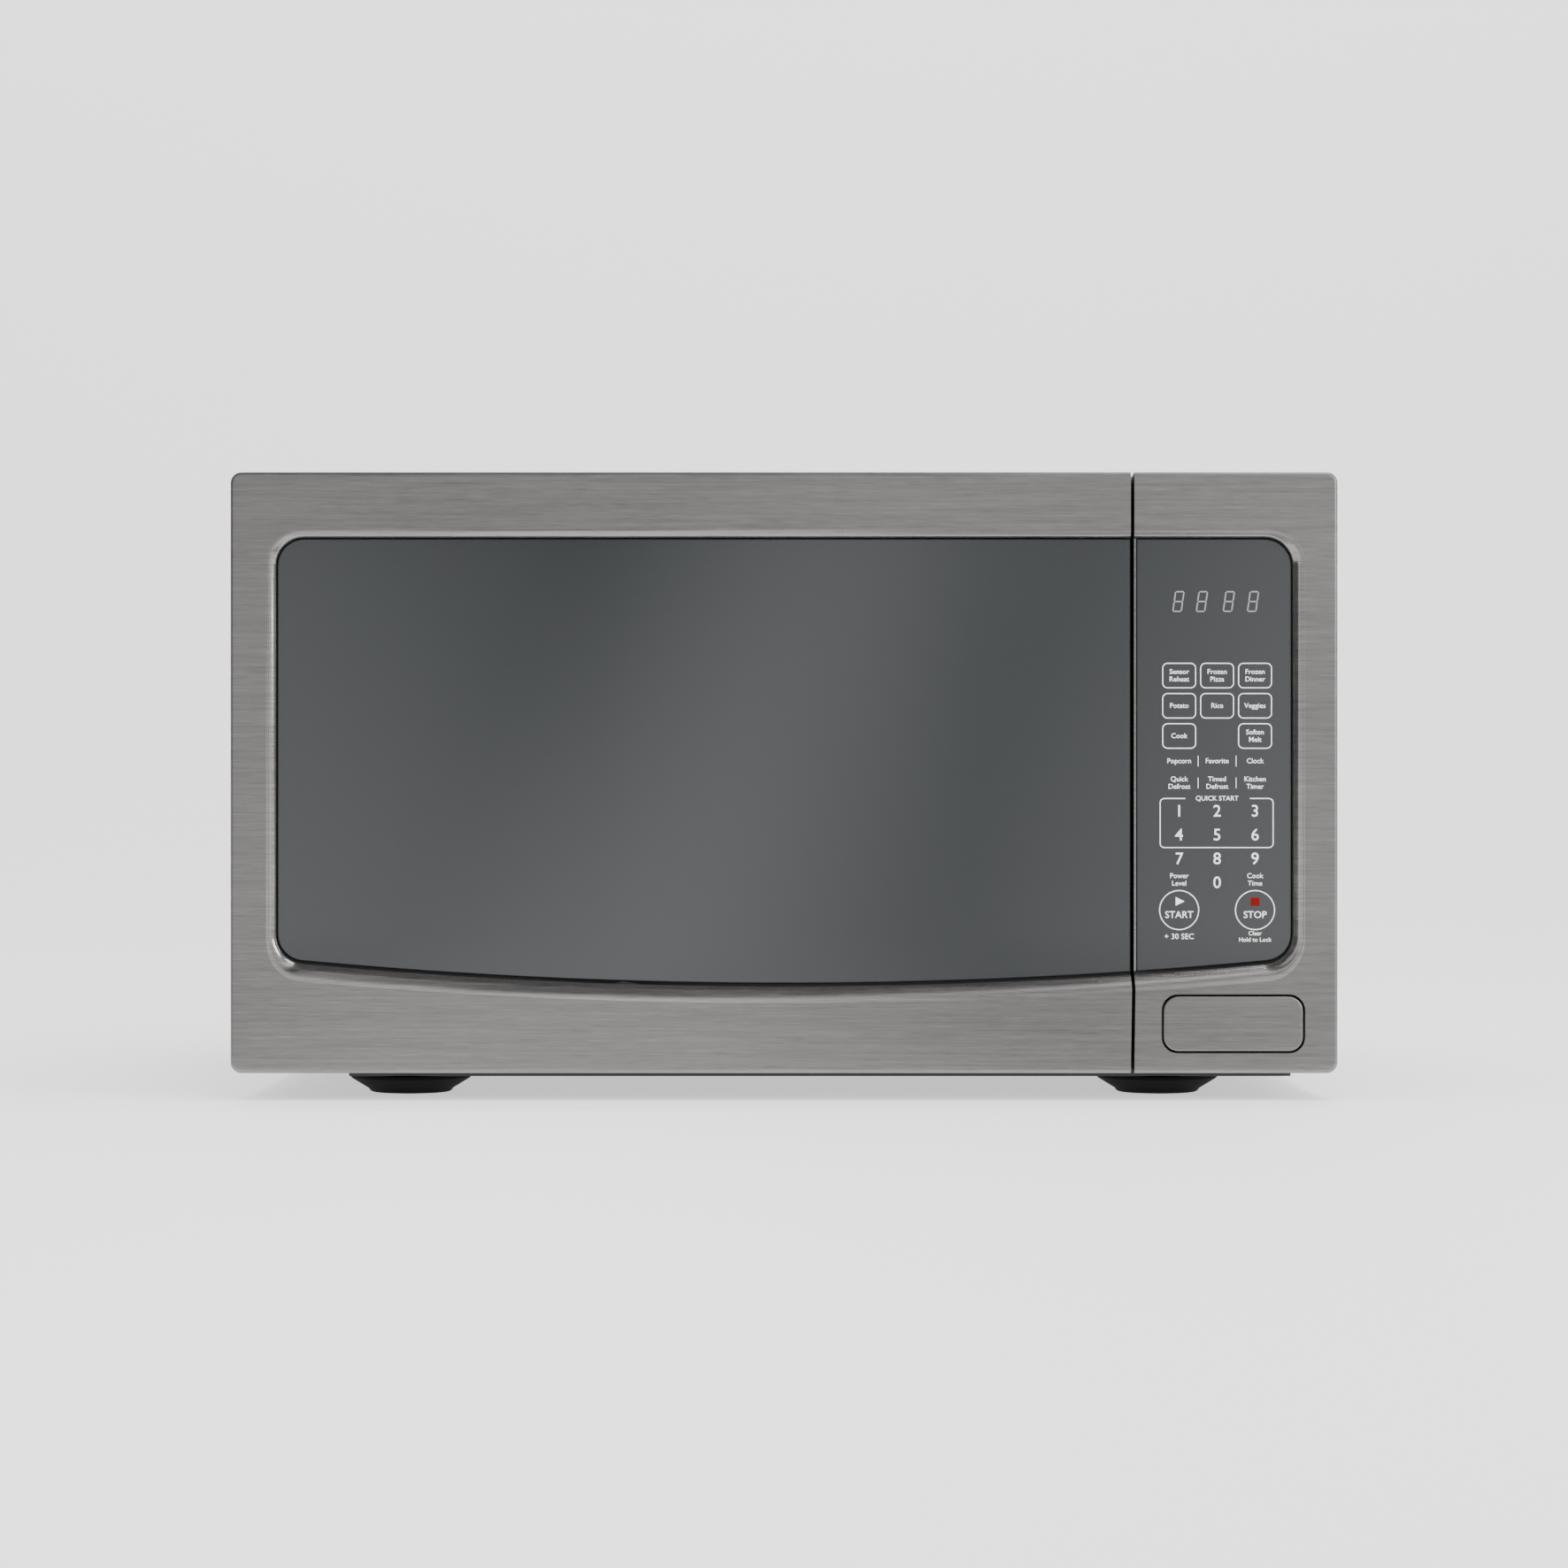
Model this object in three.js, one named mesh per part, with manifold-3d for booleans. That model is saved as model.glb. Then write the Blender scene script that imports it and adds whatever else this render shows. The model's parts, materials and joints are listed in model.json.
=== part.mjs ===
// Countertop microwave oven with a side-hinged door, a keypad panel on the right and a glass turntable.
// Millimetres: X to the right, Y to the back, Z up. The origin is on the counter, at the middle of the
// oven's width and depth. The front of the door is at the lowest Y.
import * as THREE from 'three';
import { mergeVertices } from 'three/addons/utils/BufferGeometryUtils.js';
import Module from 'manifold-3d';

const wasm = await Module();
wasm.setup();

// ---- Driving dimensions: the whole oven ----
const WIDTH = 608;
const DEPTH = 500;
const HEIGHT = 345;
const FRONT_DEPTH = 36; // door and control fascia, front to back
const FRONT_LIFT = 15; // counter to the lower edge of the door
const GAP = 0.3; // left between pieces that touch
const SHEET = 0.8; // steel sheet of the cabinet and the cavity
const PLASTIC = 3; // plastic wall of the door bezel and the fascia
const OVERCUT = 1; // how far a cutting solid runs past the face it opens

// ---- Front ----
const PANEL_WIDTH = 111.7;
const DOOR_SEAM = 1.9; // between the door and the fascia
const DOOR_GAP = 1.5; // between the door's back and the front flange
const CORNER_RADIUS = 6;
const RECESS_LEFT = 25.3; // outer edge to the edge of the sunk glass
const RECESS_RIGHT = 24.8;
const RECESS_TOP = 36.2;
const RECESS_BOTTOM = 49; // at the middle, where the curved lower edge is lowest
const RECESS_SWEEP = 2883; // radius of the curved lower edge
const RECESS_CORNER = 15;
const GLASS_SINK = 3.8; // front face back to the glass
const GLASS_THICKNESS = 3.2;
const WEB = 2.5; // plastic behind the glass
const PANEL_RIM = 1.2; // edge of the fascia beside the keypad

// ---- Cabinet and cavity ----
const SIDE_INSET = 5; // front's outer edge to the cover's side
const TOP_INSET = 2;
const COVER_BACK_INSET = 5; // rear spacers' tips to the cover's rear edge
const REAR_PANEL_INSET = 10;
const BASE_RISE = 16.2; // counter to the underside of the base plate
const PAN_DROP = 5.6; // how far the base plate's pan hangs lower
const PAN_LEFT_INSET = 61;
const PAN_RIGHT_INSET = 21;
const CAVITY_LEFT_INSET = 34;
const CAVITY_RIGHT_INSET = 34.4; // from the door's right edge
const CAVITY_FLOOR_RISE = 28; // from the door's lower edge
const CAVITY_TOP_INSET = 30;
const CAVITY_BACK_INSET = 26;
const VIEW_MARGIN = 12; // cavity wall to the edge of the view window
const VIEW_RISE = 71; // door's lower edge to the window
const VIEW_TOP_INSET = 49;

// ---- Hinge, latch and release ----
const HINGE_INSET = 12; // from the door's left edge and from its back
const HINGE_PIN_RADIUS = 2.4;
const HINGE_PIN_CLEARANCE = 0.3;
const HINGE_PIN_LENGTH = 15;
const HINGE_PLATE = 2;
const HINGE_PLATE_INSET = 6; // door's edge to the hinge plate
const HINGE_ARM = 5; // half width of the arm
const LATCH_INSET = 14.4; // door's right edge to the latch's middle plane
const LATCH_THICKNESS = 4;
const LATCH_LOWER_RISE = 85; // counter to the lower hook's underside
const LATCH_UPPER_DROP = 60; // cavity's top to the upper hook's underside
const LATCH_ARM = 10;
const LATCH_NOSE = 4;
const LATCH_NOSE_LENGTH = 8;
const LEDGE_PLAY = 2; // front of the hooks' noses to the ledges they catch
const LATCH_REACH = 29; // door's back to the hooks' tips
const LATCH_SPRING_LENGTH = 25.4;
const BUTTON_WIDTH = 76.7;
const BUTTON_HEIGHT = 30.3;
const BUTTON_RIGHT_INSET = 19;
const BUTTON_RISE = 12; // fascia's lower edge to the button
const BUTTON_CLEARANCE = 0.6;
const BUTTON_DEPTH = 10;
const BUTTON_FLANGE = 1.5;
const BUTTON_HEADROOM = 2.2; // button's flange to the top of the hollow that it moves in
const NOSE_RADIUS = 3;
const LEVER_DROP = 24; // pivot down to where the button's nose pushes
const LEVER_REACH = 18; // pivot back to the middle of the finger
const LEVER_BEHIND = 8; // door's back to the pivot
const LEVER_THICKNESS = 4;
const LEVER_WIDTH = 12;
const PIVOT_RADIUS = 2.5;

// ---- Turntable ----
const TRAY_WALL_CLEARANCE = 11;
const TRAY_THICKNESS = 5;
const TRAY_RIM_HEIGHT = 13.4;
const TRACK_INSET = 44; // tray's edge to the middle of the roller track
const TRACK_MARGIN = 12; // roller track to the edge of the floor's dish
const DISH_DEPTH = 3;
const ROLLER_RADIUS = 8;
const ROLLER_WIDTH = 8;
const ROLLER_COUNT = 3;
const AXLE_RADIUS = 2;
const RING_WIDTH = 7.5;
const RING_HEIGHT = 7;
const COUPLER_RADIUS = 9;
const COUPLER_LOBE = 18;

// ---- Bay on the right: cooling, power and control ----
const WAVEGUIDE_DEPTH = 34.5;
const MAGNETRON_WIDTH = 86;
const MAGNETRON_SIZE = 90; // along Y and Z
const MAGNETRON_BACK_INSET = 120;
const FAN_TOP_INSET = 110; // top of the oven to the fan's axis
const FAN_DEPTH = 50;
const FAN_BAY_MARGIN = 10;
const FAN_TIP_CLEARANCE = 2.5;
const FAN_BLADES = 5;
const DUCT_WALL = 1.5;
const GLAND_RADIUS = 8; // bushing in the rear panel that the cord comes out of
const GLAND_INSET = 60;
const GLAND_RISE = 40;

// ---- Feet ----
const FOOT_BOTTOM_RADIUS = 24;
const FOOT_TOP_RADIUS = 34;
const FOOT_ROUNDING = 3;
const FOOT_SIDE_INSET = 93;
const FOOT_FRONT_INSET = 75;
const FOOT_BACK_INSET = 60;

// ---- Planes that follow from the dimensions ----
const LEFT = -WIDTH / 2;
const RIGHT = WIDTH / 2;
const FRONT = -DEPTH / 2;
const BACK = DEPTH / 2;
const DOOR_RIGHT = RIGHT - PANEL_WIDTH - DOOR_SEAM;
const FASCIA_LEFT = RIGHT - PANEL_WIDTH;
const DOOR_BACK = FRONT + FRONT_DEPTH;
const GLASS_FRONT = FRONT + GLASS_SINK;
const GLASS_BACK = GLASS_FRONT + GLASS_THICKNESS;
const POCKET_BACK = GLASS_BACK + GAP;
const WEB_BACK = POCKET_BACK + WEB;
const FLANGE_FRONT = DOOR_BACK + DOOR_GAP;
const FLANGE_BACK = FLANGE_FRONT + SHEET;
const COVER_SIDE = RIGHT - SIDE_INSET;
const COVER_INNER = COVER_SIDE - SHEET;
const COVER_TOP = HEIGHT - TOP_INSET;
const INNER_EDGE = COVER_INNER - GAP; // side edge of the plates inside the cover
const BASE_TOP = BASE_RISE + SHEET;
const PAN_BOTTOM = BASE_RISE - PAN_DROP;
const REAR_FACE = BACK - REAR_PANEL_INSET;
const CAVITY = {
  left: LEFT + CAVITY_LEFT_INSET,
  right: DOOR_RIGHT - CAVITY_RIGHT_INSET,
  front: FLANGE_BACK + GAP,
  back: BACK - CAVITY_BACK_INSET,
  bottom: FRONT_LIFT + CAVITY_FLOOR_RISE,
  top: HEIGHT - CAVITY_TOP_INSET,
};
const VIEW = {
  x: [CAVITY.left + VIEW_MARGIN, CAVITY.right - VIEW_MARGIN],
  z: [FRONT_LIFT + VIEW_RISE, HEIGHT - VIEW_TOP_INSET],
};
const HINGE_X = LEFT + HINGE_INSET;
const HINGE_Y = DOOR_BACK - HINGE_INSET;
const LATCH_X = DOOR_RIGHT - LATCH_INSET;
const PIVOT_Y = DOOR_BACK + LEVER_BEHIND;
const BUTTON_X = [RIGHT - BUTTON_RIGHT_INSET - BUTTON_WIDTH, RIGHT - BUTTON_RIGHT_INSET];
const BUTTON_Z = [FRONT_LIFT + BUTTON_RISE, FRONT_LIFT + BUTTON_RISE + BUTTON_HEIGHT];
const NOSE_Z = (BUTTON_Z[0] + BUTTON_Z[1]) / 2;
const PIVOT_Z = NOSE_Z + LEVER_DROP;
const BUTTON_MIDDLE = (BUTTON_X[0] + BUTTON_X[1]) / 2;
const LEVER_X = [BUTTON_MIDDLE - LEVER_WIDTH / 2, BUTTON_MIDDLE + LEVER_WIDTH / 2];
const BAY_LEFT = CAVITY.right + SHEET;
const BAY_CENTRE = (BAY_LEFT + COVER_INNER) / 2;
const GLAND_CENTRE = [RIGHT - GLAND_INSET, BASE_TOP + GLAND_RISE];

// ---- Finishes ----
const FINISHES = {
  brushedSteel: { color: 0x8f8c8a, roughness: 0.35, metalness: 0.9 },
  galvanised: { color: 0xa5a8aa, roughness: 0.5, metalness: 0.8 },
  darkPaint: { color: 0x2b2c2e, roughness: 0.6, metalness: 0.3 },
  greyEnamel: { color: 0xb9bab8, roughness: 0.45, metalness: 0.1 },
  smokedGlass: { color: 0x54575a, roughness: 0.06, metalness: 0.2 },
  clearGlass: { color: 0xdfe6e6, roughness: 0.05, metalness: 0 },
  blackPlastic: { color: 0x191a1b, roughness: 0.55, metalness: 0 },
  whitePlastic: { color: 0xdcdcd6, roughness: 0.5, metalness: 0 },
  rubber: { color: 0x141414, roughness: 0.85, metalness: 0 },
  circuitBoard: { color: 0x2f5a35, roughness: 0.6, metalness: 0 },
  copper: { color: 0x9a5a30, roughness: 0.4, metalness: 0.8 },
  mica: { color: 0xb5ad98, roughness: 0.7, metalness: 0 },
};

// ---- Solids ----
// Closed geometry as a solid: vertices merged, and slivers with a repeated corner dropped.
function solidOf(geometry) {
  geometry.deleteAttribute('normal');
  geometry.deleteAttribute('uv');
  const merged = mergeVertices(geometry, 1e-4);
  const corners = merged.index.array;
  const kept = [];
  for (let i = 0; i < corners.length; i += 3) {
    const [a, b, c] = [corners[i], corners[i + 1], corners[i + 2]];
    if (a !== b && b !== c && c !== a) kept.push(a, b, c);
  }
  const vertProperties = new Float32Array(merged.attributes.position.array);
  return new wasm.Manifold(new wasm.Mesh({ numProp: 3, vertProperties, triVerts: new Uint32Array(kept) }));
}

function geometryOf(solid) {
  const mesh = solid.getMesh();
  const geometry = new THREE.BufferGeometry();
  const positions = new Float32Array(mesh.vertProperties);
  geometry.setAttribute('position', new THREE.BufferAttribute(positions, mesh.numProp));
  geometry.setIndex(new THREE.BufferAttribute(new Uint32Array(mesh.triVerts), 1));
  geometry.computeVertexNormals();
  return geometry;
}

function join(first, ...others) {
  return others.reduce((whole, piece) => whole.add(piece), first);
}

function cut(blank, ...tools) {
  return tools.reduce((whole, tool) => whole.subtract(tool), blank);
}

function block([x0, x1], [y0, y1], [z0, z1]) {
  const geometry = new THREE.BoxGeometry(x1 - x0, y1 - y0, z1 - z0);
  geometry.translate((x0 + x1) / 2, (y0 + y1) / 2, (z0 + z1) / 2);
  return solidOf(geometry);
}

// A round bar along x, y or z. Its centre gives the other two coordinates, in X, Y, Z order.
function bar(axis, radius, [a, b], [start, end], sides = 24) {
  const geometry = new THREE.CylinderGeometry(radius, radius, end - start, sides);
  geometry.translate(0, (start + end) / 2, 0);
  if (axis === 'x') geometry.rotateZ(-Math.PI / 2).translate(0, a, b);
  if (axis === 'y') geometry.translate(a, 0, b);
  if (axis === 'z') geometry.rotateX(Math.PI / 2).translate(a, b, 0);
  return solidOf(geometry);
}

function tube(axis, radius, bore, centre, [start, end], sides = 24) {
  const core = bar(axis, bore, centre, [start - OVERCUT, end + OVERCUT], sides);
  return cut(bar(axis, radius, centre, [start, end], sides), core);
}

// A front-view outline, drawn in X and Z, as a solid between two values of Y.
function facing(shape, [y0, y1], curveSegments = 6) {
  const settings = { depth: y1 - y0, bevelEnabled: false, curveSegments };
  const geometry = new THREE.ExtrudeGeometry(shape, settings);
  geometry.rotateX(Math.PI / 2).translate(0, y1, 0);
  return solidOf(geometry);
}

// A profile of [radius, height] points, turned about Z. It starts and ends on the axis.
function turned(profile, sides = 48) {
  const points = profile.map(([radius, height]) => new THREE.Vector2(radius, height));
  const geometry = new THREE.LatheGeometry(points, sides);
  geometry.rotateX(Math.PI / 2);
  return solidOf(geometry);
}

function roundedRectangle([x0, x1], [z0, z1], radius) {
  const shape = new THREE.Shape();
  shape.absarc(x0 + radius, z1 - radius, radius, Math.PI / 2, Math.PI, false);
  shape.absarc(x0 + radius, z0 + radius, radius, Math.PI, Math.PI * 1.5, false);
  shape.absarc(x1 - radius, z0 + radius, radius, -Math.PI / 2, 0, false);
  shape.absarc(x1 - radius, z1 - radius, radius, 0, Math.PI / 2, false);
  return shape;
}

function grow([low, high], by) {
  return [low - by, high + by];
}

function around(centre, half) {
  return [centre - half, centre + half];
}


// ---- Door and fascia blanks ----
// The recess that the glass and the keypad sit in, as one outline across the whole front. The lower
// edge is an arc, and a corner arc joins it to each side.
function recessOutline(inset) {
  const left = LEFT + RECESS_LEFT + inset;
  const right = RIGHT - RECESS_RIGHT - inset;
  const top = HEIGHT - RECESS_TOP - inset;
  const arcCentre = FRONT_LIFT + RECESS_BOTTOM + RECESS_SWEEP;
  const sweep = RECESS_SWEEP - inset;
  const r = RECESS_CORNER;
  const cornerHeight = (x) => arcCentre - Math.sqrt((sweep - r) ** 2 - x ** 2);
  const leftX = left + r;
  const rightX = right - r;
  const leftZ = cornerHeight(leftX);
  const rightZ = cornerHeight(rightX);
  const leftAngle = Math.atan2(leftZ - arcCentre, leftX);
  const rightAngle = Math.atan2(rightZ - arcCentre, rightX);
  const shape = new THREE.Shape();
  shape.absarc(leftX, top - r, r, Math.PI / 2, Math.PI, false);
  shape.absarc(leftX, leftZ, r, Math.PI, leftAngle + 2 * Math.PI, false);
  shape.absarc(0, arcCentre, sweep, leftAngle, rightAngle, false);
  shape.absarc(rightX, rightZ, r, rightAngle, 0, false);
  shape.absarc(rightX, top - r, r, 0, Math.PI / 2, false);
  return shape;
}

function recessBlock([x0, x1], [y0, y1], inset) {
  const slab = block([x0, x1], [y0 - OVERCUT, y1 + OVERCUT], [0, HEIGHT]);
  return facing(recessOutline(inset), [y0, y1]).intersect(slab);
}

// The oven's whole front, cut to the width of the door or of the fascia.
function frontBlank([x0, x1]) {
  const outline = roundedRectangle([LEFT, RIGHT], [FRONT_LIFT, HEIGHT], CORNER_RADIUS);
  const slab = block([x0, x1], [FRONT - OVERCUT, DOOR_BACK + OVERCUT], [0, HEIGHT + OVERCUT]);
  return facing(outline, [FRONT, DOOR_BACK]).intersect(slab);
}

// The hollow behind the web, and the deeper hollow behind the plain strip below the recess.
function backHollows([x0, x1], stripTop) {
  const open = DOOR_BACK + OVERCUT;
  const [low, high] = [FRONT_LIFT + PLASTIC, HEIGHT - PLASTIC];
  const main = block([x0, x1], [WEB_BACK, open], [low, high]);
  const strip = block([x0, x1], [FRONT + PLASTIC, open], [low, stripTop]);
  return main.add(strip);
}

function hingeHeights(upper) {
  const edge = upper ? HEIGHT - HINGE_PLATE_INSET - HINGE_PLATE : FRONT_LIFT + HINGE_PLATE_INSET;
  const plate = [edge, edge + HINGE_PLATE];
  const above = [edge, edge + HINGE_PLATE + HINGE_PIN_LENGTH];
  const pin = upper ? [edge - HINGE_PIN_LENGTH, edge + OVERCUT] : above;
  return { plate, pin };
}

// A solid post round one hinge pin, with a notch that the hinge plate swings in.
function hingePost(upper) {
  const { pin } = hingeHeights(upper);
  const ends = upper ? [pin[0] - PLASTIC, HEIGHT - PLASTIC] : [FRONT_LIFT + PLASTIC, pin[1] + PLASTIC];
  const reach = HINGE_X + HINGE_ARM + PLASTIC;
  return block([LEFT + PLASTIC - GAP, reach], [WEB_BACK - GAP, DOOR_BACK], ends);
}

function hingeRelief(upper) {
  const { plate, pin } = hingeHeights(upper);
  const sweep = HINGE_ARM + PLASTIC;
  const notchX = [LEFT - OVERCUT, HINGE_X + HINGE_ARM + 2];
  const notch = block(notchX, [HINGE_Y - sweep - 1, DOOR_BACK + OVERCUT], grow(plate, 1.7));
  const boreRadius = HINGE_PIN_RADIUS + HINGE_PIN_CLEARANCE;
  const bore = bar('z', boreRadius, [HINGE_X, HINGE_Y], grow(pin, 1), 32);
  return notch.add(bore);
}

// What is cut from the back left edge, so that the edge is round about the hinge axis.
function hingeEdgeRelief() {
  const high = [0, HEIGHT + OVERCUT];
  const corner = block([LEFT - OVERCUT, HINGE_X], [HINGE_Y, DOOR_BACK + OVERCUT], high);
  return corner.subtract(bar('z', HINGE_INSET, [HINGE_X, HINGE_Y], [-OVERCUT, HEIGHT + 2 * OVERCUT], 64));
}

// ---- Door ----
const LATCH_SPREAD = CAVITY.top - LATCH_UPPER_DROP - LATCH_LOWER_RISE; // lower hook to upper hook
const LATCH_BAR_Y = [DOOR_BACK - 22, DOOR_BACK - 10];
const LATCH_TOP = LATCH_LOWER_RISE + LATCH_SPREAD + LATCH_ARM + 25;

function doorBezel() {
  const span = [LEFT, DOOR_RIGHT];
  const seatTop = LATCH_TOP + LATCH_SPRING_LENGTH + 2 * GAP;
  const seatX = around(LATCH_X, 6);
  const seat = block(seatX, [WEB_BACK - GAP, DOOR_BACK - 8], [seatTop, HEIGHT - PLASTIC + GAP]);
  const shell = cut(
    frontBlank(span),
    recessBlock([LEFT, DOOR_RIGHT + OVERCUT], [FRONT - OVERCUT, POCKET_BACK], 0),
    backHollows([LEFT + PLASTIC, DOOR_RIGHT - PLASTIC], FRONT_LIFT + RECESS_BOTTOM - PLASTIC),
    block(VIEW.x, [FRONT, DOOR_BACK], VIEW.z),
  );
  const posts = join(shell, seat, hingePost(true), hingePost(false));
  return cut(posts, hingeEdgeRelief(), hingeRelief(true), hingeRelief(false));
}

function doorGlass() {
  return recessBlock([LEFT, DOOR_RIGHT], [GLASS_FRONT, GLASS_BACK], GAP);
}

const CHOKE_X = [CAVITY.left - 13, LATCH_X - 8];
const CHOKE_Z = [CAVITY.bottom - 19, CAVITY.top + 19];
const CHOKE_Y = [WEB_BACK + GAP, DOOR_BACK - 4];
const CHOKE_GROOVE = 17;

// A pressed pan with an outer wall, an inner wall round the window, and the groove between them.
function doorChokeFrame() {
  const open = [CHOKE_Y[0] + SHEET, CHOKE_Y[1] + OVERCUT];
  const groove = cut(
    block(grow(CHOKE_X, -SHEET), open, grow(CHOKE_Z, -SHEET)),
    block(grow(CHOKE_X, -CHOKE_GROOVE), grow(open, OVERCUT), grow(CHOKE_Z, -CHOKE_GROOVE)),
  );
  const inside = CHOKE_GROOVE + SHEET;
  const window = block(grow(CHOKE_X, -inside), grow(CHOKE_Y, OVERCUT), grow(CHOKE_Z, -inside));
  const back = block(grow(CHOKE_X, -inside), open, grow(CHOKE_Z, -inside));
  const pan = cut(block(CHOKE_X, CHOKE_Y, CHOKE_Z), groove, back);
  return pan.subtract(window.intersect(block(VIEW.x, grow(CHOKE_Y, OVERCUT), VIEW.z)));
}

function doorScreen() {
  const y = CHOKE_Y[0] + SHEET + GAP;
  return block(grow(VIEW.x, 4), [y, y + 0.8], grow(VIEW.z, 3));
}

const COVER_PLATE_Y = [CHOKE_Y[1] + GAP, DOOR_BACK - 0.4];

function doorInnerWindow() {
  const y = COVER_PLATE_Y[0] - GAP;
  return block(grow(VIEW.x, 4), [y - 1.6, y], grow(VIEW.z, 3));
}

// The moulded frame that closes the choke groove and holds the inner window, with a slot for each hook.
function chokeCover() {
  const through = grow(COVER_PLATE_Y, OVERCUT);
  const plate = block([CHOKE_X[0] + 1, DOOR_RIGHT - PLASTIC - GAP], COVER_PLATE_Y, grow(CHOKE_Z, -1));
  const slots = [0, LATCH_SPREAD].map((rise) => {
    const low = LATCH_LOWER_RISE + rise;
    return block(around(LATCH_X, 4), through, [low - LATCH_NOSE - 2, low + LATCH_ARM + 8]);
  });
  return cut(plate, block(VIEW.x, through, VIEW.z), ...slots);
}

// ---- Latch ----
function latchHook() {
  const x = around(LATCH_X, LATCH_THICKNESS / 2);
  const tip = DOOR_BACK + LATCH_REACH;
  const arms = [0, LATCH_SPREAD].map((rise) => {
    const low = LATCH_LOWER_RISE + rise;
    const arm = block(x, [LATCH_BAR_Y[1] - GAP, tip], [low, low + LATCH_ARM]);
    return arm.add(block(x, [tip - LATCH_NOSE_LENGTH, tip], [low - LATCH_NOSE, low + GAP]));
  });
  return join(block(x, LATCH_BAR_Y, [LATCH_LOWER_RISE - 20, LATCH_TOP]), ...arms);
}

function latchSpring() {
  const centre = [LATCH_X, (LATCH_BAR_Y[0] + LATCH_BAR_Y[1]) / 2];
  return tube('z', 4, 2.8, centre, [LATCH_TOP + GAP, LATCH_TOP + GAP + LATCH_SPRING_LENGTH], 16);
}

const LATCH_BOARD_X = [LATCH_X + 7, LATCH_X + 10];
const FINGER_TOP = LATCH_LOWER_RISE - LATCH_NOSE - 0.4;

// The plate behind the front flange, with a ledge under each hook and a way through for the finger.
function latchBoard() {
  const tip = DOOR_BACK + LATCH_REACH;
  const ledgeBack = tip - LATCH_NOSE_LENGTH - LEDGE_PLAY;
  const plate = block(LATCH_BOARD_X, [CAVITY.front, tip + 20], [LATCH_LOWER_RISE - 25, LATCH_TOP]);
  const ledges = [0, LATCH_SPREAD].map((rise) => {
    const top = LATCH_LOWER_RISE + rise - 0.4;
    return block([LATCH_X - 5, LATCH_BOARD_X[0] + GAP], [tip - 18, ledgeBack], [top - 6.6, top]);
  });
  const way = block(grow(LATCH_BOARD_X, OVERCUT), [ledgeBack, tip + 6], [PIVOT_Z - 6, FINGER_TOP + 7]);
  return join(plate, ...ledges).subtract(way);
}

const SWITCH = { thickness: 10.3, depth: 28, height: 16 };
const SWITCHES = { primary_switch: 101, monitor_switch: 122, secondary_switch: LATCH_SPREAD + 60 };

// A snap-action switch with its plunger, centred on its own origin.
function microswitch() {
  const { thickness, depth, height } = SWITCH;
  const body = block(around(0, thickness / 2), around(0, depth / 2), around(0, height / 2));
  const plunger = block(around(0, 1.5), around(-depth / 4, 2), [height / 2 - GAP, height / 2 + 1.5]);
  return body.add(plunger);
}

// ---- Hinges ----
function hingeBracket(upper) {
  const { plate, pin } = hingeHeights(upper);
  const tabBack = FLANGE_BACK + GAP + SHEET;
  const eye = bar('z', HINGE_ARM, [HINGE_X, HINGE_Y], plate, 24);
  const arm = block(around(HINGE_X, HINGE_ARM), [HINGE_Y, tabBack], plate);
  const tabZ = upper ? [plate[0] - 16, plate[1]] : [plate[0], plate[1] + 16];
  const tab = block([-INNER_EDGE + 1, HINGE_X + 10], [FLANGE_BACK + GAP, tabBack], tabZ);
  const pinZ = upper ? [pin[0], plate[1]] : [plate[0], pin[1]];
  return join(eye, arm, tab, bar('z', HINGE_PIN_RADIUS, [HINGE_X, HINGE_Y], pinZ, 32));
}

// ---- Cabinet ----
function ventSlots(count, pitch, slot) {
  return Array.from({ length: count }, (_, i) => slot((i - (count - 1) / 2) * pitch));
}

function outerCover() {
  const y = [FLANGE_BACK + GAP, BACK - COVER_BACK_INSET];
  const low = BASE_RISE - SHEET;
  const shell = block(around(0, COVER_SIDE), y, [low, COVER_TOP]);
  const inside = block(around(0, COVER_INNER), grow(y, OVERCUT), [low - OVERCUT, COVER_TOP - SHEET]);
  const vents = ventSlots(6, 9, (offset) => {
    const across = around(0, COVER_SIDE + OVERCUT);
    return block(across, around(BACK - 90 + offset, 1.75), around(HEIGHT / 2, 35));
  });
  return cut(shell, inside, ...vents);
}

function basePlate() {
  const y = [CAVITY.front, REAR_FACE - GAP];
  const panX = [LEFT + PAN_LEFT_INSET, RIGHT - PAN_RIGHT_INSET];
  const panY = [y[0] + 4, y[1] - 10];
  const plate = block(around(0, INNER_EDGE), y, [BASE_RISE, BASE_TOP]);
  const pan = block(panX, panY, [PAN_BOTTOM, BASE_RISE + GAP]);
  const hollow = block(grow(panX, -SHEET), grow(panY, -SHEET), [PAN_BOTTOM + SHEET, BASE_TOP + OVERCUT]);
  const vents = ventSlots(6, 12, (offset) => (
    block(around(BAY_CENTRE, 30), around(FRONT + 150 + offset, 2.5), [0, BASE_TOP])
  ));
  return cut(plate.add(pan), hollow, ...vents);
}

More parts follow.
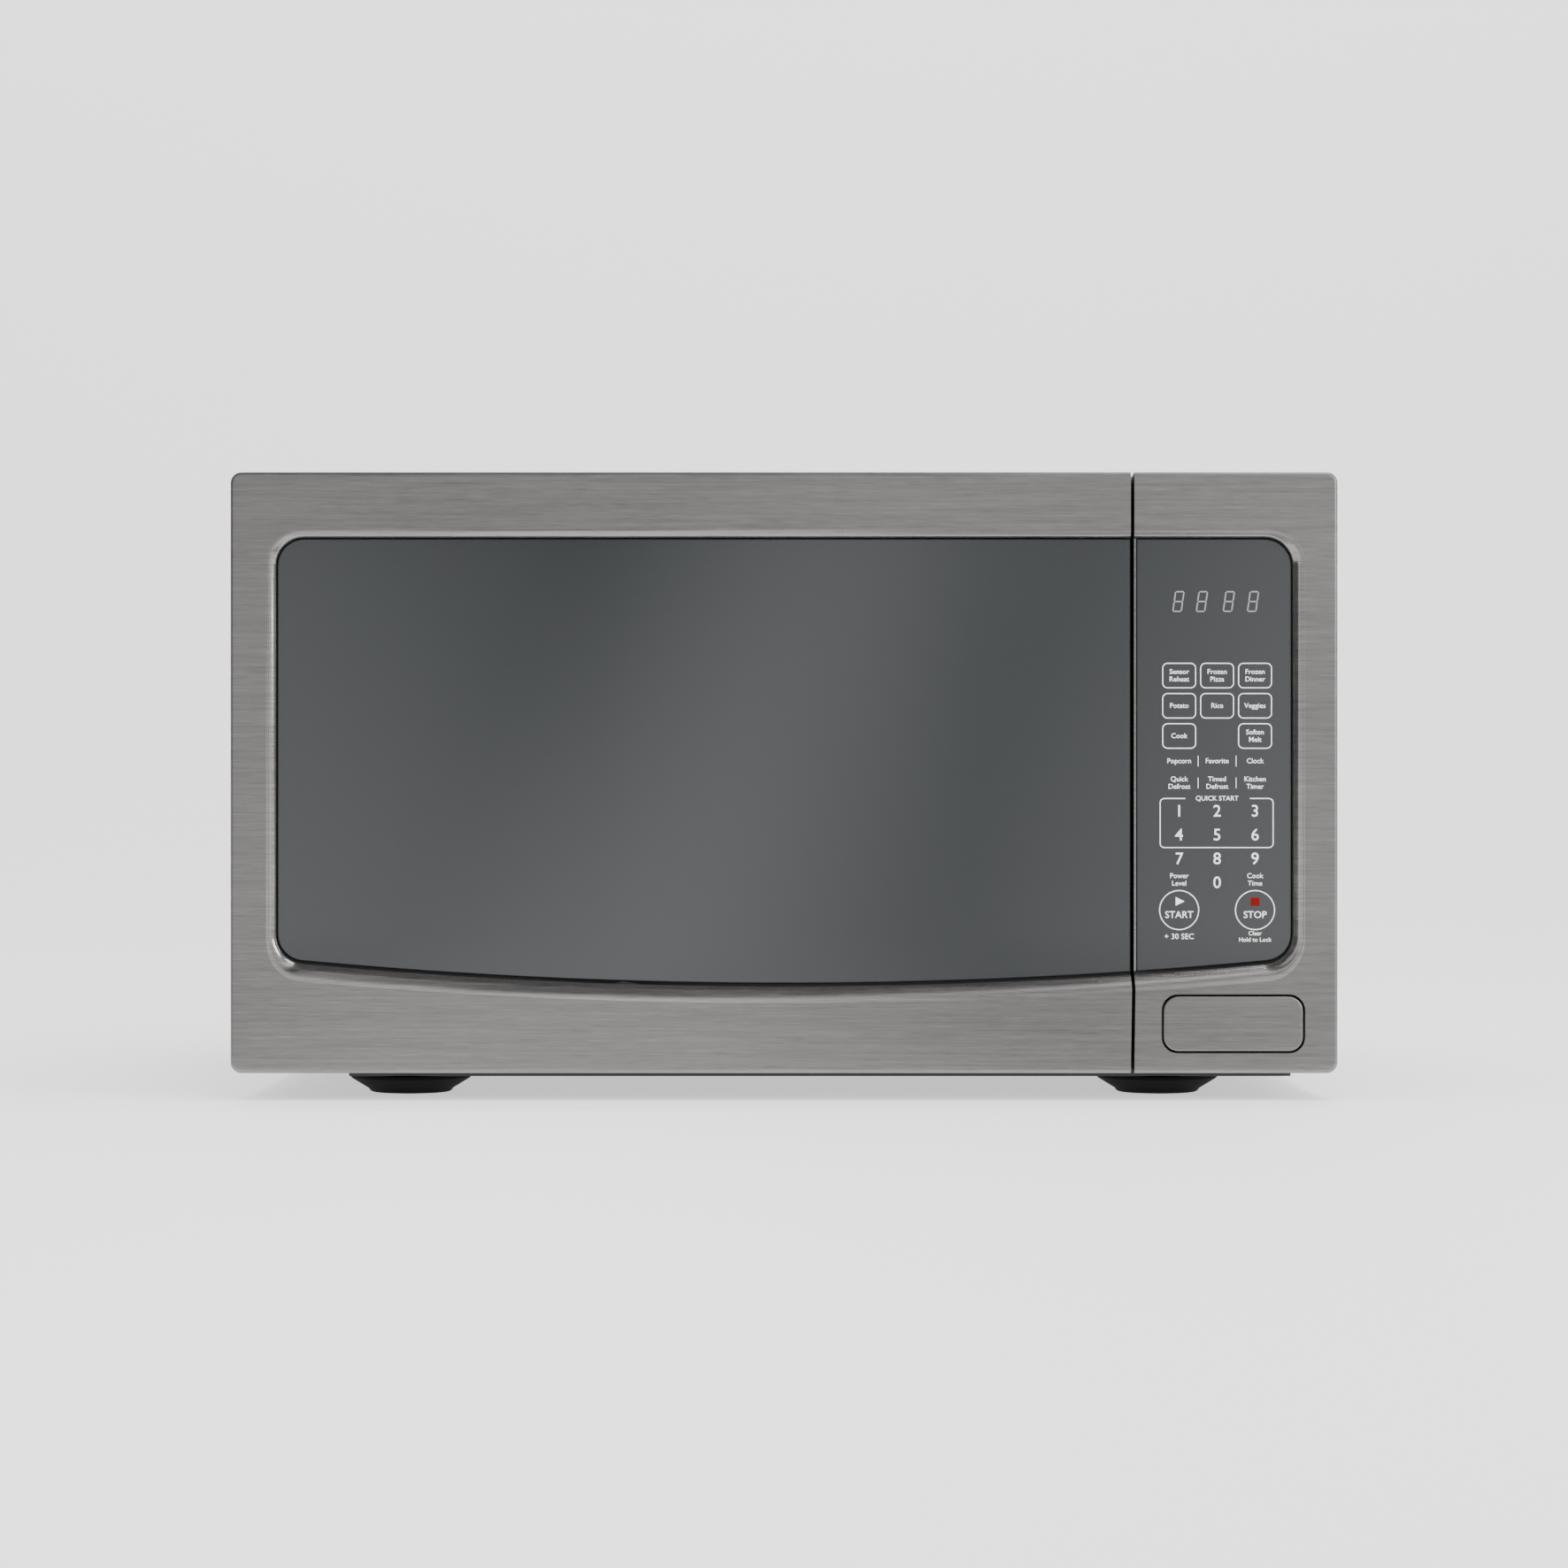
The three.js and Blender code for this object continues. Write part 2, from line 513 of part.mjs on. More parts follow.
function frontFlange() {
  const y = [FLANGE_FRONT, FLANGE_BACK];
  const through = grow(y, OVERCUT);
  const tip = LATCH_LOWER_RISE - LATCH_NOSE;
  const latchSlots = [0, LATCH_SPREAD].map((rise) => (
    block(around(LATCH_X, 6), through, [tip + rise - 3, LATCH_LOWER_RISE + rise + LATCH_ARM + 8])
  ));
  const hingeSlots = [true, false].map((upper) => (
    block(around(HINGE_X, HINGE_ARM + 0.5), through, grow(hingeHeights(upper).plate, GAP))
  ));
  return cut(
    block(around(0, INNER_EDGE), y, [BASE_TOP + GAP, COVER_TOP - SHEET - GAP]),
    block([CAVITY.left, CAVITY.right], through, [CAVITY.bottom, CAVITY.top]),
    block([DOOR_RIGHT + 10, RIGHT - 14], through, [FRONT_LIFT + 10, HEIGHT - 15]),
    ...latchSlots,
    ...hingeSlots,
  );
}

function rearPanel() {
  const y = [REAR_FACE, REAR_FACE + SHEET];
  const through = grow(y, OVERCUT);
  const plate = block(around(0, INNER_EDGE), y, [BASE_TOP + GAP, COVER_TOP - SHEET - GAP]);
  const fanSlots = ventSlots(8, 11, (offset) => (
    block(around(BAY_CENTRE, 42), through, around(HEIGHT - FAN_TOP_INSET + offset, 2.5))
  ));
  const exhaust = ventSlots(8, 11, (offset) => (
    block(around(CAVITY.left + 90 + offset, 2.5), through, around(HEIGHT - 75, 22))
  ));
  const glandHole = bar('y', GLAND_RADIUS + GAP, GLAND_CENTRE, through);
  return cut(plate, ...fanSlots, ...exhaust, glandHole);
}


function cordBushing() {
  const face = REAR_FACE + SHEET + GAP;
  const collar = bar('y', GLAND_RADIUS + 4, GLAND_CENTRE, [face, face + 3]);
  const neck = bar('y', GLAND_RADIUS, GLAND_CENTRE, [REAR_FACE - 6, face + GAP]);
  return cut(collar.add(neck), bar('y', 4, GLAND_CENTRE, [REAR_FACE - 10, BACK]));
}

function rearSpacer() {
  const face = REAR_FACE + SHEET + GAP;
  return bar('y', 7, [0, 0], [face, BACK], 20);
}

function foot() {
  const height = PAN_BOTTOM - GAP;
  return turned([
    [0, 0],
    [FOOT_BOTTOM_RADIUS - FOOT_ROUNDING, 0],
    [FOOT_BOTTOM_RADIUS, FOOT_ROUNDING * 0.6],
    [FOOT_TOP_RADIUS, height - 2],
    [FOOT_TOP_RADIUS, height],
    [0, height],
  ], 32);
}

// ---- Cavity ----
const CAVITY_CENTRE = [(CAVITY.left + CAVITY.right) / 2, (CAVITY.front + CAVITY.back) / 2];
const CAVITY_REACH = Math.min(CAVITY.right - CAVITY.left, CAVITY.back - CAVITY.front) / 2;
const TRAY_RADIUS = CAVITY_REACH - TRAY_WALL_CLEARANCE;
const TRACK_RADIUS = TRAY_RADIUS - TRACK_INSET;
const DISH_RADIUS = TRACK_RADIUS + TRACK_MARGIN;
const DISH_FLOOR = CAVITY.bottom - DISH_DEPTH;
const ROLLER_Z = DISH_FLOOR + GAP + ROLLER_RADIUS;
const TRAY_BOTTOM = ROLLER_Z + ROLLER_RADIUS + GAP;
const SHAFT_RADIUS = 3.5;

const WAVEGUIDE_Z = [HEIGHT - 175, HEIGHT - 45];
const WAVEGUIDE_Y = [BACK - MAGNETRON_BACK_INSET - MAGNETRON_SIZE - 10, BACK - MAGNETRON_BACK_INSET];
const PORT_Y = grow(WAVEGUIDE_Y, -15);
const PORT_Z = grow(WAVEGUIDE_Z, -25);
const LAMP_Y = FRONT + 220;
const LAMP_Z = HEIGHT - 55;

function cavitySideWrap() {
  const y = [CAVITY.front, CAVITY.back];
  const outerZ = [CAVITY.bottom - SHEET, CAVITY.top + SHEET];
  const outer = block(grow([CAVITY.left, CAVITY.right], SHEET), y, outerZ);
  const inner = block([CAVITY.left, CAVITY.right], grow(y, OVERCUT), [0, CAVITY.top]);
  const wall = [CAVITY.right - OVERCUT, CAVITY.right + SHEET + OVERCUT];
  const port = block(wall, PORT_Y, PORT_Z);
  const lampSlots = ventSlots(3, 8, (offset) => block(wall, around(LAMP_Y + offset, 2), around(LAMP_Z, 8)));
  const exhaust = ventSlots(5, 10, (offset) => (
    block(around(CAVITY.left + 60 + offset, 2.5), around(CAVITY.back - 30, 12), [CAVITY.top - 1, HEIGHT])
  ));
  return cut(outer, inner, port, ...lampSlots, ...exhaust);
}

function cavityFloor() {
  const [x, y] = CAVITY_CENTRE;
  const sheet = block(
    grow([CAVITY.left, CAVITY.right], -GAP),
    [CAVITY.front, CAVITY.back],
    [CAVITY.bottom - SHEET, CAVITY.bottom],
  );
  const under = bar('z', DISH_RADIUS + SHEET, [x, y], [DISH_FLOOR - SHEET, CAVITY.bottom - SHEET + GAP], 48);
  const dish = bar('z', DISH_RADIUS, [x, y], [DISH_FLOOR, CAVITY.bottom + OVERCUT], 48);
  const shaftHole = bar('z', SHAFT_RADIUS + 4, [x, y], [0, CAVITY.bottom]);
  return cut(sheet.add(under), dish, shaftHole);
}

function cavityBack() {
  const y = CAVITY.back + GAP;
  const z = [CAVITY.bottom - SHEET, CAVITY.top + SHEET];
  return block(grow([CAVITY.left, CAVITY.right], SHEET), [y, y + SHEET], z);
}

// ---- Turntable: each piece is modelled about the turntable's own axis ----
function turntableMotor() {
  const top = DISH_FLOOR - SHEET - 2;
  const body = bar('z', 25, [0, 0], [PAN_BOTTOM + SHEET + 4, top], 28);
  const ears = block(around(0, 33), around(0, 5), [top - 1.5, top]);
  return cut(body.add(ears), bar('z', SHAFT_RADIUS + 0.6, [0, 0], [top - 8, top + OVERCUT]));
}

function turntableCoupler() {
  const low = DISH_FLOOR + 4.5;
  const stem = bar('z', SHAFT_RADIUS, [0, 0], [DISH_FLOOR - SHEET - 8, low + GAP], 16);
  const hub = bar('z', COUPLER_RADIUS, [0, 0], [low, TRAY_BOTTOM - 1], 24);
  const lobes = Array.from({ length: 3 }, (_, i) => {
    const lobe = block([0, COUPLER_LOBE], around(0, 4), [low, TRAY_BOTTOM - 3]);
    return lobe.rotate([0, 0, i * 120]);
  });
  return join(stem, hub, ...lobes);
}

// A dished glass plate with a raised rim, and three lugs below that the coupler's lobes drive.
function glassTray() {
  const rimFoot = TRAY_RADIUS - 14;
  const plate = turned([
    [0, TRAY_BOTTOM],
    [rimFoot, TRAY_BOTTOM],
    [TRAY_RADIUS, TRAY_BOTTOM + TRAY_RIM_HEIGHT - 4],
    [TRAY_RADIUS, TRAY_BOTTOM + TRAY_RIM_HEIGHT],
    [TRAY_RADIUS - 4, TRAY_BOTTOM + TRAY_RIM_HEIGHT],
    [rimFoot - 3, TRAY_BOTTOM + TRAY_THICKNESS],
    [0, TRAY_BOTTOM + TRAY_THICKNESS],
  ], 64);
  const lugs = Array.from({ length: 3 }, (_, i) => {
    const reach = [COUPLER_RADIUS + 2, COUPLER_LOBE + 1];
    const lug = block(reach, around(0, 5), [TRAY_BOTTOM - 6, TRAY_BOTTOM + 1]);
    return lug.rotate([0, 0, i * 120 + 60]);
  });
  return join(plate, ...lugs);
}

function rollerAngle(index) {
  return (index * 360) / ROLLER_COUNT + 90;
}

// The ring carries a radial axle with a retaining cap for each roller.
function rollerRing() {
  const outside = TRACK_RADIUS - ROLLER_WIDTH / 2 - GAP;
  const z = around(ROLLER_Z, RING_HEIGHT / 2);
  const ring = tube('z', outside, outside - RING_WIDTH, [0, 0], z, 48);
  const capStart = TRACK_RADIUS + ROLLER_WIDTH / 2 + GAP;
  const axles = Array.from({ length: ROLLER_COUNT }, (_, i) => {
    const axle = bar('x', AXLE_RADIUS, [0, ROLLER_Z], [outside - 2, capStart + GAP], 16);
    const cap = bar('x', AXLE_RADIUS + 1.4, [0, ROLLER_Z], [capStart, capStart + 2], 16);
    return axle.add(cap).rotate([0, 0, rollerAngle(i)]);
  });
  return join(ring, ...axles);
}

function rollerWheel(index) {
  const x = around(TRACK_RADIUS, ROLLER_WIDTH / 2);
  const wheel = tube('x', ROLLER_RADIUS, AXLE_RADIUS + GAP, [0, ROLLER_Z], x, 24);
  return wheel.rotate([0, 0, rollerAngle(index)]);
}

// ---- Power and cooling ----
const WAVEGUIDE_X = [BAY_LEFT + GAP, BAY_LEFT + GAP + WAVEGUIDE_DEPTH];
const MAGNETRON_X = [WAVEGUIDE_X[1] + GAP, WAVEGUIDE_X[1] + GAP + MAGNETRON_WIDTH];
const MAGNETRON_Y = [BACK - MAGNETRON_BACK_INSET - MAGNETRON_SIZE, BACK - MAGNETRON_BACK_INSET];
const MAGNETRON_Z = around(HEIGHT - FAN_TOP_INSET, MAGNETRON_SIZE / 2);
const ANTENNA_AT = [(MAGNETRON_Y[0] + MAGNETRON_Y[1]) / 2, HEIGHT - FAN_TOP_INSET];

function waveguide() {
  const duct = block(WAVEGUIDE_X, WAVEGUIDE_Y, WAVEGUIDE_Z);
  const inside = [WAVEGUIDE_X[0] - OVERCUT, WAVEGUIDE_X[1] - SHEET];
  const hollow = block(inside, grow(WAVEGUIDE_Y, -SHEET), grow(WAVEGUIDE_Z, -SHEET));
  const hole = bar('x', 12, ANTENNA_AT, grow(WAVEGUIDE_X, OVERCUT));
  return cut(duct, hollow, hole);
}

function waveguideCover() {
  const x = CAVITY.right - GAP;
  return block([x - 1, x], grow(PORT_Y, 6), grow(PORT_Z, 6));
}

// The cooling frame is open front and back, with fins across the anode tube.
function magnetron() {
  const wall = 1.5;
  const frame = block(MAGNETRON_X, MAGNETRON_Y, MAGNETRON_Z);
  const airway = block(grow(MAGNETRON_X, -wall), grow(MAGNETRON_Y, OVERCUT), grow(MAGNETRON_Z, -wall));
  const anode = bar('x', 19, ANTENNA_AT, [MAGNETRON_X[0] + 1, MAGNETRON_X[1] - 1]);
  const fins = [0.25, 0.4, 0.6, 0.75].map((share) => {
    const x = MAGNETRON_X[0] + MAGNETRON_WIDTH * share;
    return block(around(x, 0.6), grow(MAGNETRON_Y, -12), grow(MAGNETRON_Z, -1));
  });
  const antenna = bar('x', 8, ANTENNA_AT, [MAGNETRON_X[0] - 24, MAGNETRON_X[0] + 2], 16);
  const filterZ = [MAGNETRON_Z[0] - 26, MAGNETRON_Z[0] + 1];
  const filter = block(grow(MAGNETRON_X, -14), grow(MAGNETRON_Y, -20), filterZ);
  return join(frame.subtract(airway), anode, ...fins, antenna, filter);
}

const FLOOR_OF_PAN = PAN_BOTTOM + SHEET + GAP;

// Laminated core with a foot along each side, and the two windings that stand out of it.
function highVoltageTransformer() {
  const y = FRONT + 165;
  const core = block(around(BAY_CENTRE, 38), around(y, 42), [FLOOR_OF_PAN, FLOOR_OF_PAN + 82]);
  const windings = block(around(BAY_CENTRE, 30), around(y, 58), [FLOOR_OF_PAN + 18, FLOOR_OF_PAN + 64]);
  const feet = block(around(BAY_CENTRE, 50), around(y, 30), [FLOOR_OF_PAN, FLOOR_OF_PAN + 3]);
  const tags = [-12, 0, 12].map((offset) => (
    block(around(BAY_CENTRE + offset, 3), around(y - 57, 6), [FLOOR_OF_PAN + 60, FLOOR_OF_PAN + 72])
  ));
  return join(core, windings, feet, ...tags);
}

const CAPACITOR = {
  x: BAY_CENTRE,
  y: [BACK - 190, BACK - 105],
  z: FLOOR_OF_PAN + 27,
  halfWidth: 27,
  halfHeight: 17,
};

function ovalSolid(swell, y) {
  const { x, z, halfWidth, halfHeight } = CAPACITOR;
  const outline = roundedRectangle(
    around(x, halfWidth + swell),
    around(z, halfHeight + swell),
    halfHeight + swell - 0.1,
  );
  return facing(outline, y, 6);
}

function highVoltageCapacitor() {
  const { x, z, y } = CAPACITOR;
  const terminals = [-11, 11].map((offset) => bar('y', 4, [x + offset, z], [y[0] - 9, y[0] + 1], 12));
  return join(ovalSolid(0, y), ...terminals);
}

function capacitorClamp() {
  const { x, z, halfHeight, y } = CAPACITOR;
  const band = around((y[0] + y[1]) / 2, 8);
  const strap = cut(ovalSolid(GAP + SHEET, band), ovalSolid(GAP, grow(band, OVERCUT)));
  const leg = block([x - 55, x], band, [FLOOR_OF_PAN, FLOOR_OF_PAN + SHEET]);
  const riser = block([x - 8, x + 8], band, [FLOOR_OF_PAN, z - halfHeight - GAP - SHEET / 2]);
  return join(strap, leg, riser);
}

function highVoltageDiode() {
  const { x, z, y } = CAPACITOR;
  return bar('x', 4, [y[0] - 18, z], [x - 24, x + 6], 16);
}

const FAN_HALF = (COVER_INNER - BAY_LEFT) / 2 - FAN_BAY_MARGIN;
const FAN_Z = HEIGHT - FAN_TOP_INSET;
const FAN_BORE = FAN_HALF - 4;
const FAN_Y = [REAR_FACE - GAP - FAN_DEPTH, REAR_FACE - GAP];
const FAN_MOTOR_Y = [REAR_FACE - 23, REAR_FACE - 8];

// A square housing with a round bore, and a bar across its back that carries the motor.
function fanShroud() {
  const z = around(FAN_Z, FAN_HALF);
  const body = block(around(BAY_CENTRE, FAN_HALF), FAN_Y, z);
  const bore = bar('y', FAN_BORE, [BAY_CENTRE, FAN_Z], grow(FAN_Y, OVERCUT), 48);
  const carrierY = [FAN_MOTOR_Y[1] + GAP, FAN_Y[1]];
  const carrier = block(around(BAY_CENTRE, FAN_HALF - 1), carrierY, around(FAN_Z, 7));
  return join(body.subtract(bore), carrier);
}

function fanMotor() {
  const stack = block(around(BAY_CENTRE, 24), FAN_MOTOR_Y, around(FAN_Z, 20));
  return stack.add(bar('y', 2, [BAY_CENTRE, FAN_Z], [FAN_Y[0] + 6, FAN_MOTOR_Y[0] + 1], 12));
}

// Pitched blades round a hub, about the fan's own axis.
function fanBlade() {
  const y = [FAN_Y[0] + 7, FAN_MOTOR_Y[0] - 2];
  const radius = FAN_BORE - FAN_TIP_CLEARANCE;
  const blades = Array.from({ length: FAN_BLADES }, (_, i) => {
    const blade = new THREE.BoxGeometry(radius - 10, 1.6, 26);
    blade.rotateX(Math.PI / 5).translate(8 + (radius - 10) / 2, 0, 0);
    blade.rotateY((i * 2 * Math.PI) / FAN_BLADES).translate(0, (y[0] + y[1]) / 2, 0);
    return solidOf(blade);
  });
  return cut(join(bar('y', 12, [0, 0], y), ...blades), bar('y', 2 + GAP, [0, 0], grow(y, OVERCUT), 16));
}

// A duct as wide as the fan's housing, with a baffle at its front that opens onto the magnetron's fins.
function airDuct() {
  const y = [MAGNETRON_Y[1] + GAP, FAN_Y[0] - GAP];
  const x = around(BAY_CENTRE, FAN_HALF);
  const z = around(FAN_Z, FAN_HALF);
  const inside = block(grow(x, -DUCT_WALL), [y[0] + DUCT_WALL, y[1] + OVERCUT], grow(z, -DUCT_WALL));
  const mouth = block(grow(MAGNETRON_X, -DUCT_WALL), grow(y, OVERCUT), grow(MAGNETRON_Z, -DUCT_WALL));
  return cut(block(x, y, z), inside, mouth);
}

function ovenLamp() {
  const x = BAY_LEFT + GAP;
  const holder = block([x + 16, x + 30], around(LAMP_Y, 15), around(LAMP_Z, 12));
  return holder.add(bar('x', 9, [LAMP_Y, LAMP_Z], [x + 3, x + 18], 20));
}

function thermalCutout() {
  const z = CAVITY.top + SHEET + GAP;
  const disc = bar('z', 8, [CAVITY.right - 40, 0], [z, z + 7], 20);
  return disc.add(block(around(CAVITY.right - 40, 13), around(0, 4), [z, z + 1.5]));
}

function humiditySensor() {
  const z = CAVITY.top + SHEET + GAP;
  const x = CAVITY.left + 60;
  return block(around(x, 14), [CAVITY.back - 80, CAVITY.back - 56], [z, z + 13]);
}

function noiseFilterBoard() {
  const [x, y, z] = [BAY_CENTRE, FRONT + 190, HEIGHT - 48];
  return join(
    block(around(x, 38), around(y, 40), [z, z + 1.6]),
    bar('z', 13, [x - 18, y + 18], [z + 1, z + 18], 20),
    block([x + 5, x + 30], around(y, 12), [z + 1, z + 20]),
    block(around(x - 15, 12), [y - 32, y - 22], [z + 1, z + 14]),
  );
}

// ---- Control panel ----
const RIB_X = [grow(LEVER_X, 6), grow(LEVER_X, 2.5)];
const EARS = [[RIB_X[0][0], RIB_X[1][0]], [RIB_X[1][1], RIB_X[0][1]]];
const SPRING_X = LEVER_X[1] + 17;
const EAR_CLEARANCE = 0.8; // top of the button's flange to the ears that hold the lever's pin
const SPRING_SEAT_Y = [DOOR_BACK - 3, DOOR_BACK];
const DISPLAY = { x: around(FASCIA_LEFT + 45, 31), z: around(HEIGHT - 71.5, 12) };

function controlFascia() {
  const span = [FASCIA_LEFT, RIGHT];
  const panelSpan = [FASCIA_LEFT + PANEL_RIM, RIGHT];
  const earBack = PIVOT_Y + 7;
  const earZ = [BUTTON_Z[1] + BUTTON_FLANGE + EAR_CLEARANCE, PIVOT_Z + 8];
  const seat = block([EARS[1][0], SPRING_X + 7], SPRING_SEAT_Y, [NOSE_Z - 7, earZ[1]]);
  const buttonHole = { x: grow(BUTTON_X, BUTTON_CLEARANCE), z: grow(BUTTON_Z, BUTTON_CLEARANCE) };
  const stripTop = BUTTON_Z[1] + BUTTON_FLANGE + BUTTON_HEADROOM;
  const shell = cut(
    frontBlank(span),
    recessBlock(panelSpan, [FRONT - OVERCUT, POCKET_BACK], 0),
    backHollows([FASCIA_LEFT + PLASTIC, RIGHT - PLASTIC], stripTop),
    block(buttonHole.x, [FRONT - OVERCUT, FRONT + BUTTON_DEPTH], buttonHole.z),
    block(grow(DISPLAY.x, 1), [FRONT, DOOR_BACK], grow(DISPLAY.z, 1)),
  );
  const ears = EARS.map((x) => block(x, [WEB_BACK - GAP, earBack], earZ));
  const pinHole = bar('x', PIVOT_RADIUS + GAP, [PIVOT_Y, PIVOT_Z], grow(RIB_X[0], OVERCUT), 24);
  return cut(join(shell, ...ears, seat), pinHole);
}

function keypadPanel() {
  return recessBlock([FASCIA_LEFT + PANEL_RIM + GAP, RIGHT], [GLASS_FRONT, GLASS_BACK], GAP);
}

function displayModule() {
  return block(DISPLAY.x, [POCKET_BACK, POCKET_BACK + 10], DISPLAY.z);
}

function controlBoard() {
  const y = POCKET_BACK + 10 + GAP;
  const x = [FASCIA_LEFT + 10, RIGHT - 24];
  const z = [PIVOT_Z + 14, HEIGHT - 45];
  const relays = [0, 24, 48].map((step) => (
    block([x[0] + 6 + step, x[0] + 24 + step], [y + 1, y + 15], [z[0] + 8, z[0] + 28])
  ));
  return join(
    block(x, [y, y + 1.6], z),
    ...relays,
    block([x[0] + 10, x[0] + 50], [y + 1, y + 28], around(HEIGHT / 2, 19)),
    block([x[0] + 12, x[0] + 40], [y + 1, y + 9], [z[1] - 34, z[1] - 26]),
  );
}

// The cap, its retaining flange, and the nose that pushes the lever.
function releaseButton() {
  const capY = [FRONT, FRONT + BUTTON_DEPTH];
  const flangeY = [FRONT + PLASTIC + GAP, FRONT + PLASTIC + GAP + 2];
  const noseCentre = PIVOT_Y - LEVER_THICKNESS / 2 - 0.4 - NOSE_RADIUS;
  const noseX = around(BUTTON_MIDDLE, 4);
  const cap = facing(roundedRectangle(BUTTON_X, BUTTON_Z, 3), capY, 3);
  const flange = block(grow(BUTTON_X, BUTTON_FLANGE), flangeY, grow(BUTTON_Z, BUTTON_FLANGE));
  const hollowY = [FRONT + PLASTIC, FRONT + BUTTON_DEPTH + OVERCUT];
  const hollow = block(grow(BUTTON_X, -2), hollowY, grow(BUTTON_Z, -2));
  const stem = block(noseX, [FRONT + 2, noseCentre], around(NOSE_Z, NOSE_RADIUS));
  const nose = bar('x', NOSE_RADIUS, [noseCentre, NOSE_Z], noseX, 24);
  return join(cap.add(flange).subtract(hollow), stem, nose);
}

function buttonSpring() {
  const y = [FRONT + PLASTIC + GAP, SPRING_SEAT_Y[0] - GAP];
  return tube('y', 4, 2.8, [SPRING_X, NOSE_Z], y, 16);
}

// A bell crank: the button pushes the arm below the pivot, and the finger behind it lifts the latch.
function releaseLever() {
  const hub = bar('x', 6, [PIVOT_Y, PIVOT_Z], LEVER_X);
  const arm = block(LEVER_X, around(PIVOT_Y, LEVER_THICKNESS / 2), [NOSE_Z - 6, PIVOT_Z]);
  const reach = around(PIVOT_Y + LEVER_REACH, 2);
  const link = block(LEVER_X, [PIVOT_Y, reach[1]], around(PIVOT_Z, 3));
  const cross = block([LATCH_X - 4, LEVER_X[1]], reach, around(PIVOT_Z, 3));
  const finger = block(around(LATCH_X, 4), reach, [PIVOT_Z - 3, FINGER_TOP]);
  const bore = bar('x', PIVOT_RADIUS + GAP, [PIVOT_Y, PIVOT_Z], grow(LEVER_X, OVERCUT), 24);
  return join(hub, arm, link, cross, finger).subtract(bore);
}

function leverPin() {
  return bar('x', PIVOT_RADIUS, [PIVOT_Y, PIVOT_Z], grow(RIB_X[0], 1), 24);
}

// ---- The assembly ----
function addGroup(parent, [x, y, z] = [0, 0, 0]) {
  const group = new THREE.Group();
  group.position.set(x, y, z);
  parent.add(group);
  return group;
}

function addPiece(group, name, solid, finish, [x, y, z] = [0, 0, 0]) {
  const mesh = new THREE.Mesh(geometryOf(solid), new THREE.MeshStandardMaterial(FINISHES[finish]));
  mesh.name = name;
  mesh.position.set(x, y, z);
  group.add(mesh);
}

function buildCabinet(oven) {
  const cabinet = addGroup(oven);
  addPiece(cabinet, 'outer_cover', outerCover(), 'darkPaint');
  addPiece(cabinet, 'base_plate', basePlate(), 'galvanised');
  addPiece(cabinet, 'front_flange', frontFlange(), 'greyEnamel');
  addPiece(cabinet, 'rear_panel', rearPanel(), 'galvanised');
  addPiece(cabinet, 'cord_bushing', cordBushing(), 'blackPlastic');
  addPiece(cabinet, 'upper_hinge', hingeBracket(true), 'galvanised');
  addPiece(cabinet, 'lower_hinge', hingeBracket(false), 'galvanised');
  const spacerX = DISH_RADIUS;
  addPiece(cabinet, 'left_rear_spacer', rearSpacer(), 'blackPlastic', [-spacerX, 0, HEIGHT / 2]);
  addPiece(cabinet, 'right_rear_spacer', rearSpacer(), 'blackPlastic', [spacerX, 0, HEIGHT / 2]);
  const footX = WIDTH / 2 - FOOT_SIDE_INSET;
  const footY = { front: FRONT + FOOT_FRONT_INSET, rear: BACK - FOOT_BACK_INSET };
  for (const [end, y] of Object.entries(footY)) {
    addPiece(cabinet, `${end}_left_foot`, foot(), 'rubber', [-footX, y, 0]);
    addPiece(cabinet, `${end}_right_foot`, foot(), 'rubber', [footX, y, 0]);
  }
}

function buildCavity(oven) {
  const cavity = addGroup(oven);
  addPiece(cavity, 'cavity_side_wrap', cavitySideWrap(), 'greyEnamel');
  addPiece(cavity, 'cavity_floor', cavityFloor(), 'greyEnamel');
  addPiece(cavity, 'cavity_back', cavityBack(), 'greyEnamel');
  addPiece(cavity, 'waveguide', waveguide(), 'galvanised');
  addPiece(cavity, 'waveguide_cover', waveguideCover(), 'mica');
  addPiece(cavity, 'oven_lamp', ovenLamp(), 'whitePlastic');
  addPiece(cavity, 'thermal_cutout', thermalCutout(), 'blackPlastic');
  addPiece(cavity, 'humidity_sensor', humiditySensor(), 'whitePlastic');
}

function buildTurntable(oven) {
  const turntable = addGroup(oven, [...CAVITY_CENTRE, 0]);
  addPiece(turntable, 'turntable_motor', turntableMotor(), 'galvanised');
  addPiece(turntable, 'turntable_coupler', turntableCoupler(), 'whitePlastic');
  addPiece(turntable, 'glass_tray', glassTray(), 'clearGlass');
  addPiece(turntable, 'roller_ring', rollerRing(), 'whitePlastic');
  for (let i = 0; i < ROLLER_COUNT; i += 1) {
    addPiece(turntable, `roller_wheel_${i + 1}`, rollerWheel(i), 'whitePlastic');
  }
}

function buildPower(oven) {
  const power = addGroup(oven);
  addPiece(power, 'magnetron', magnetron(), 'galvanised');
  addPiece(power, 'hv_transformer', highVoltageTransformer(), 'copper');
  addPiece(power, 'hv_capacitor', highVoltageCapacitor(), 'galvanised');
  addPiece(power, 'capacitor_clamp', capacitorClamp(), 'galvanised');
  addPiece(power, 'hv_diode', highVoltageDiode(), 'blackPlastic');
  addPiece(power, 'air_duct', airDuct(), 'blackPlastic');
  addPiece(power, 'fan_shroud', fanShroud(), 'blackPlastic');
  addPiece(power, 'fan_motor', fanMotor(), 'galvanised');
  addPiece(power, 'noise_filter_board', noiseFilterBoard(), 'circuitBoard');
  const fan = addGroup(power, [BAY_CENTRE, 0, FAN_Z]);
  addPiece(fan, 'fan_blade', fanBlade(), 'whitePlastic');
}

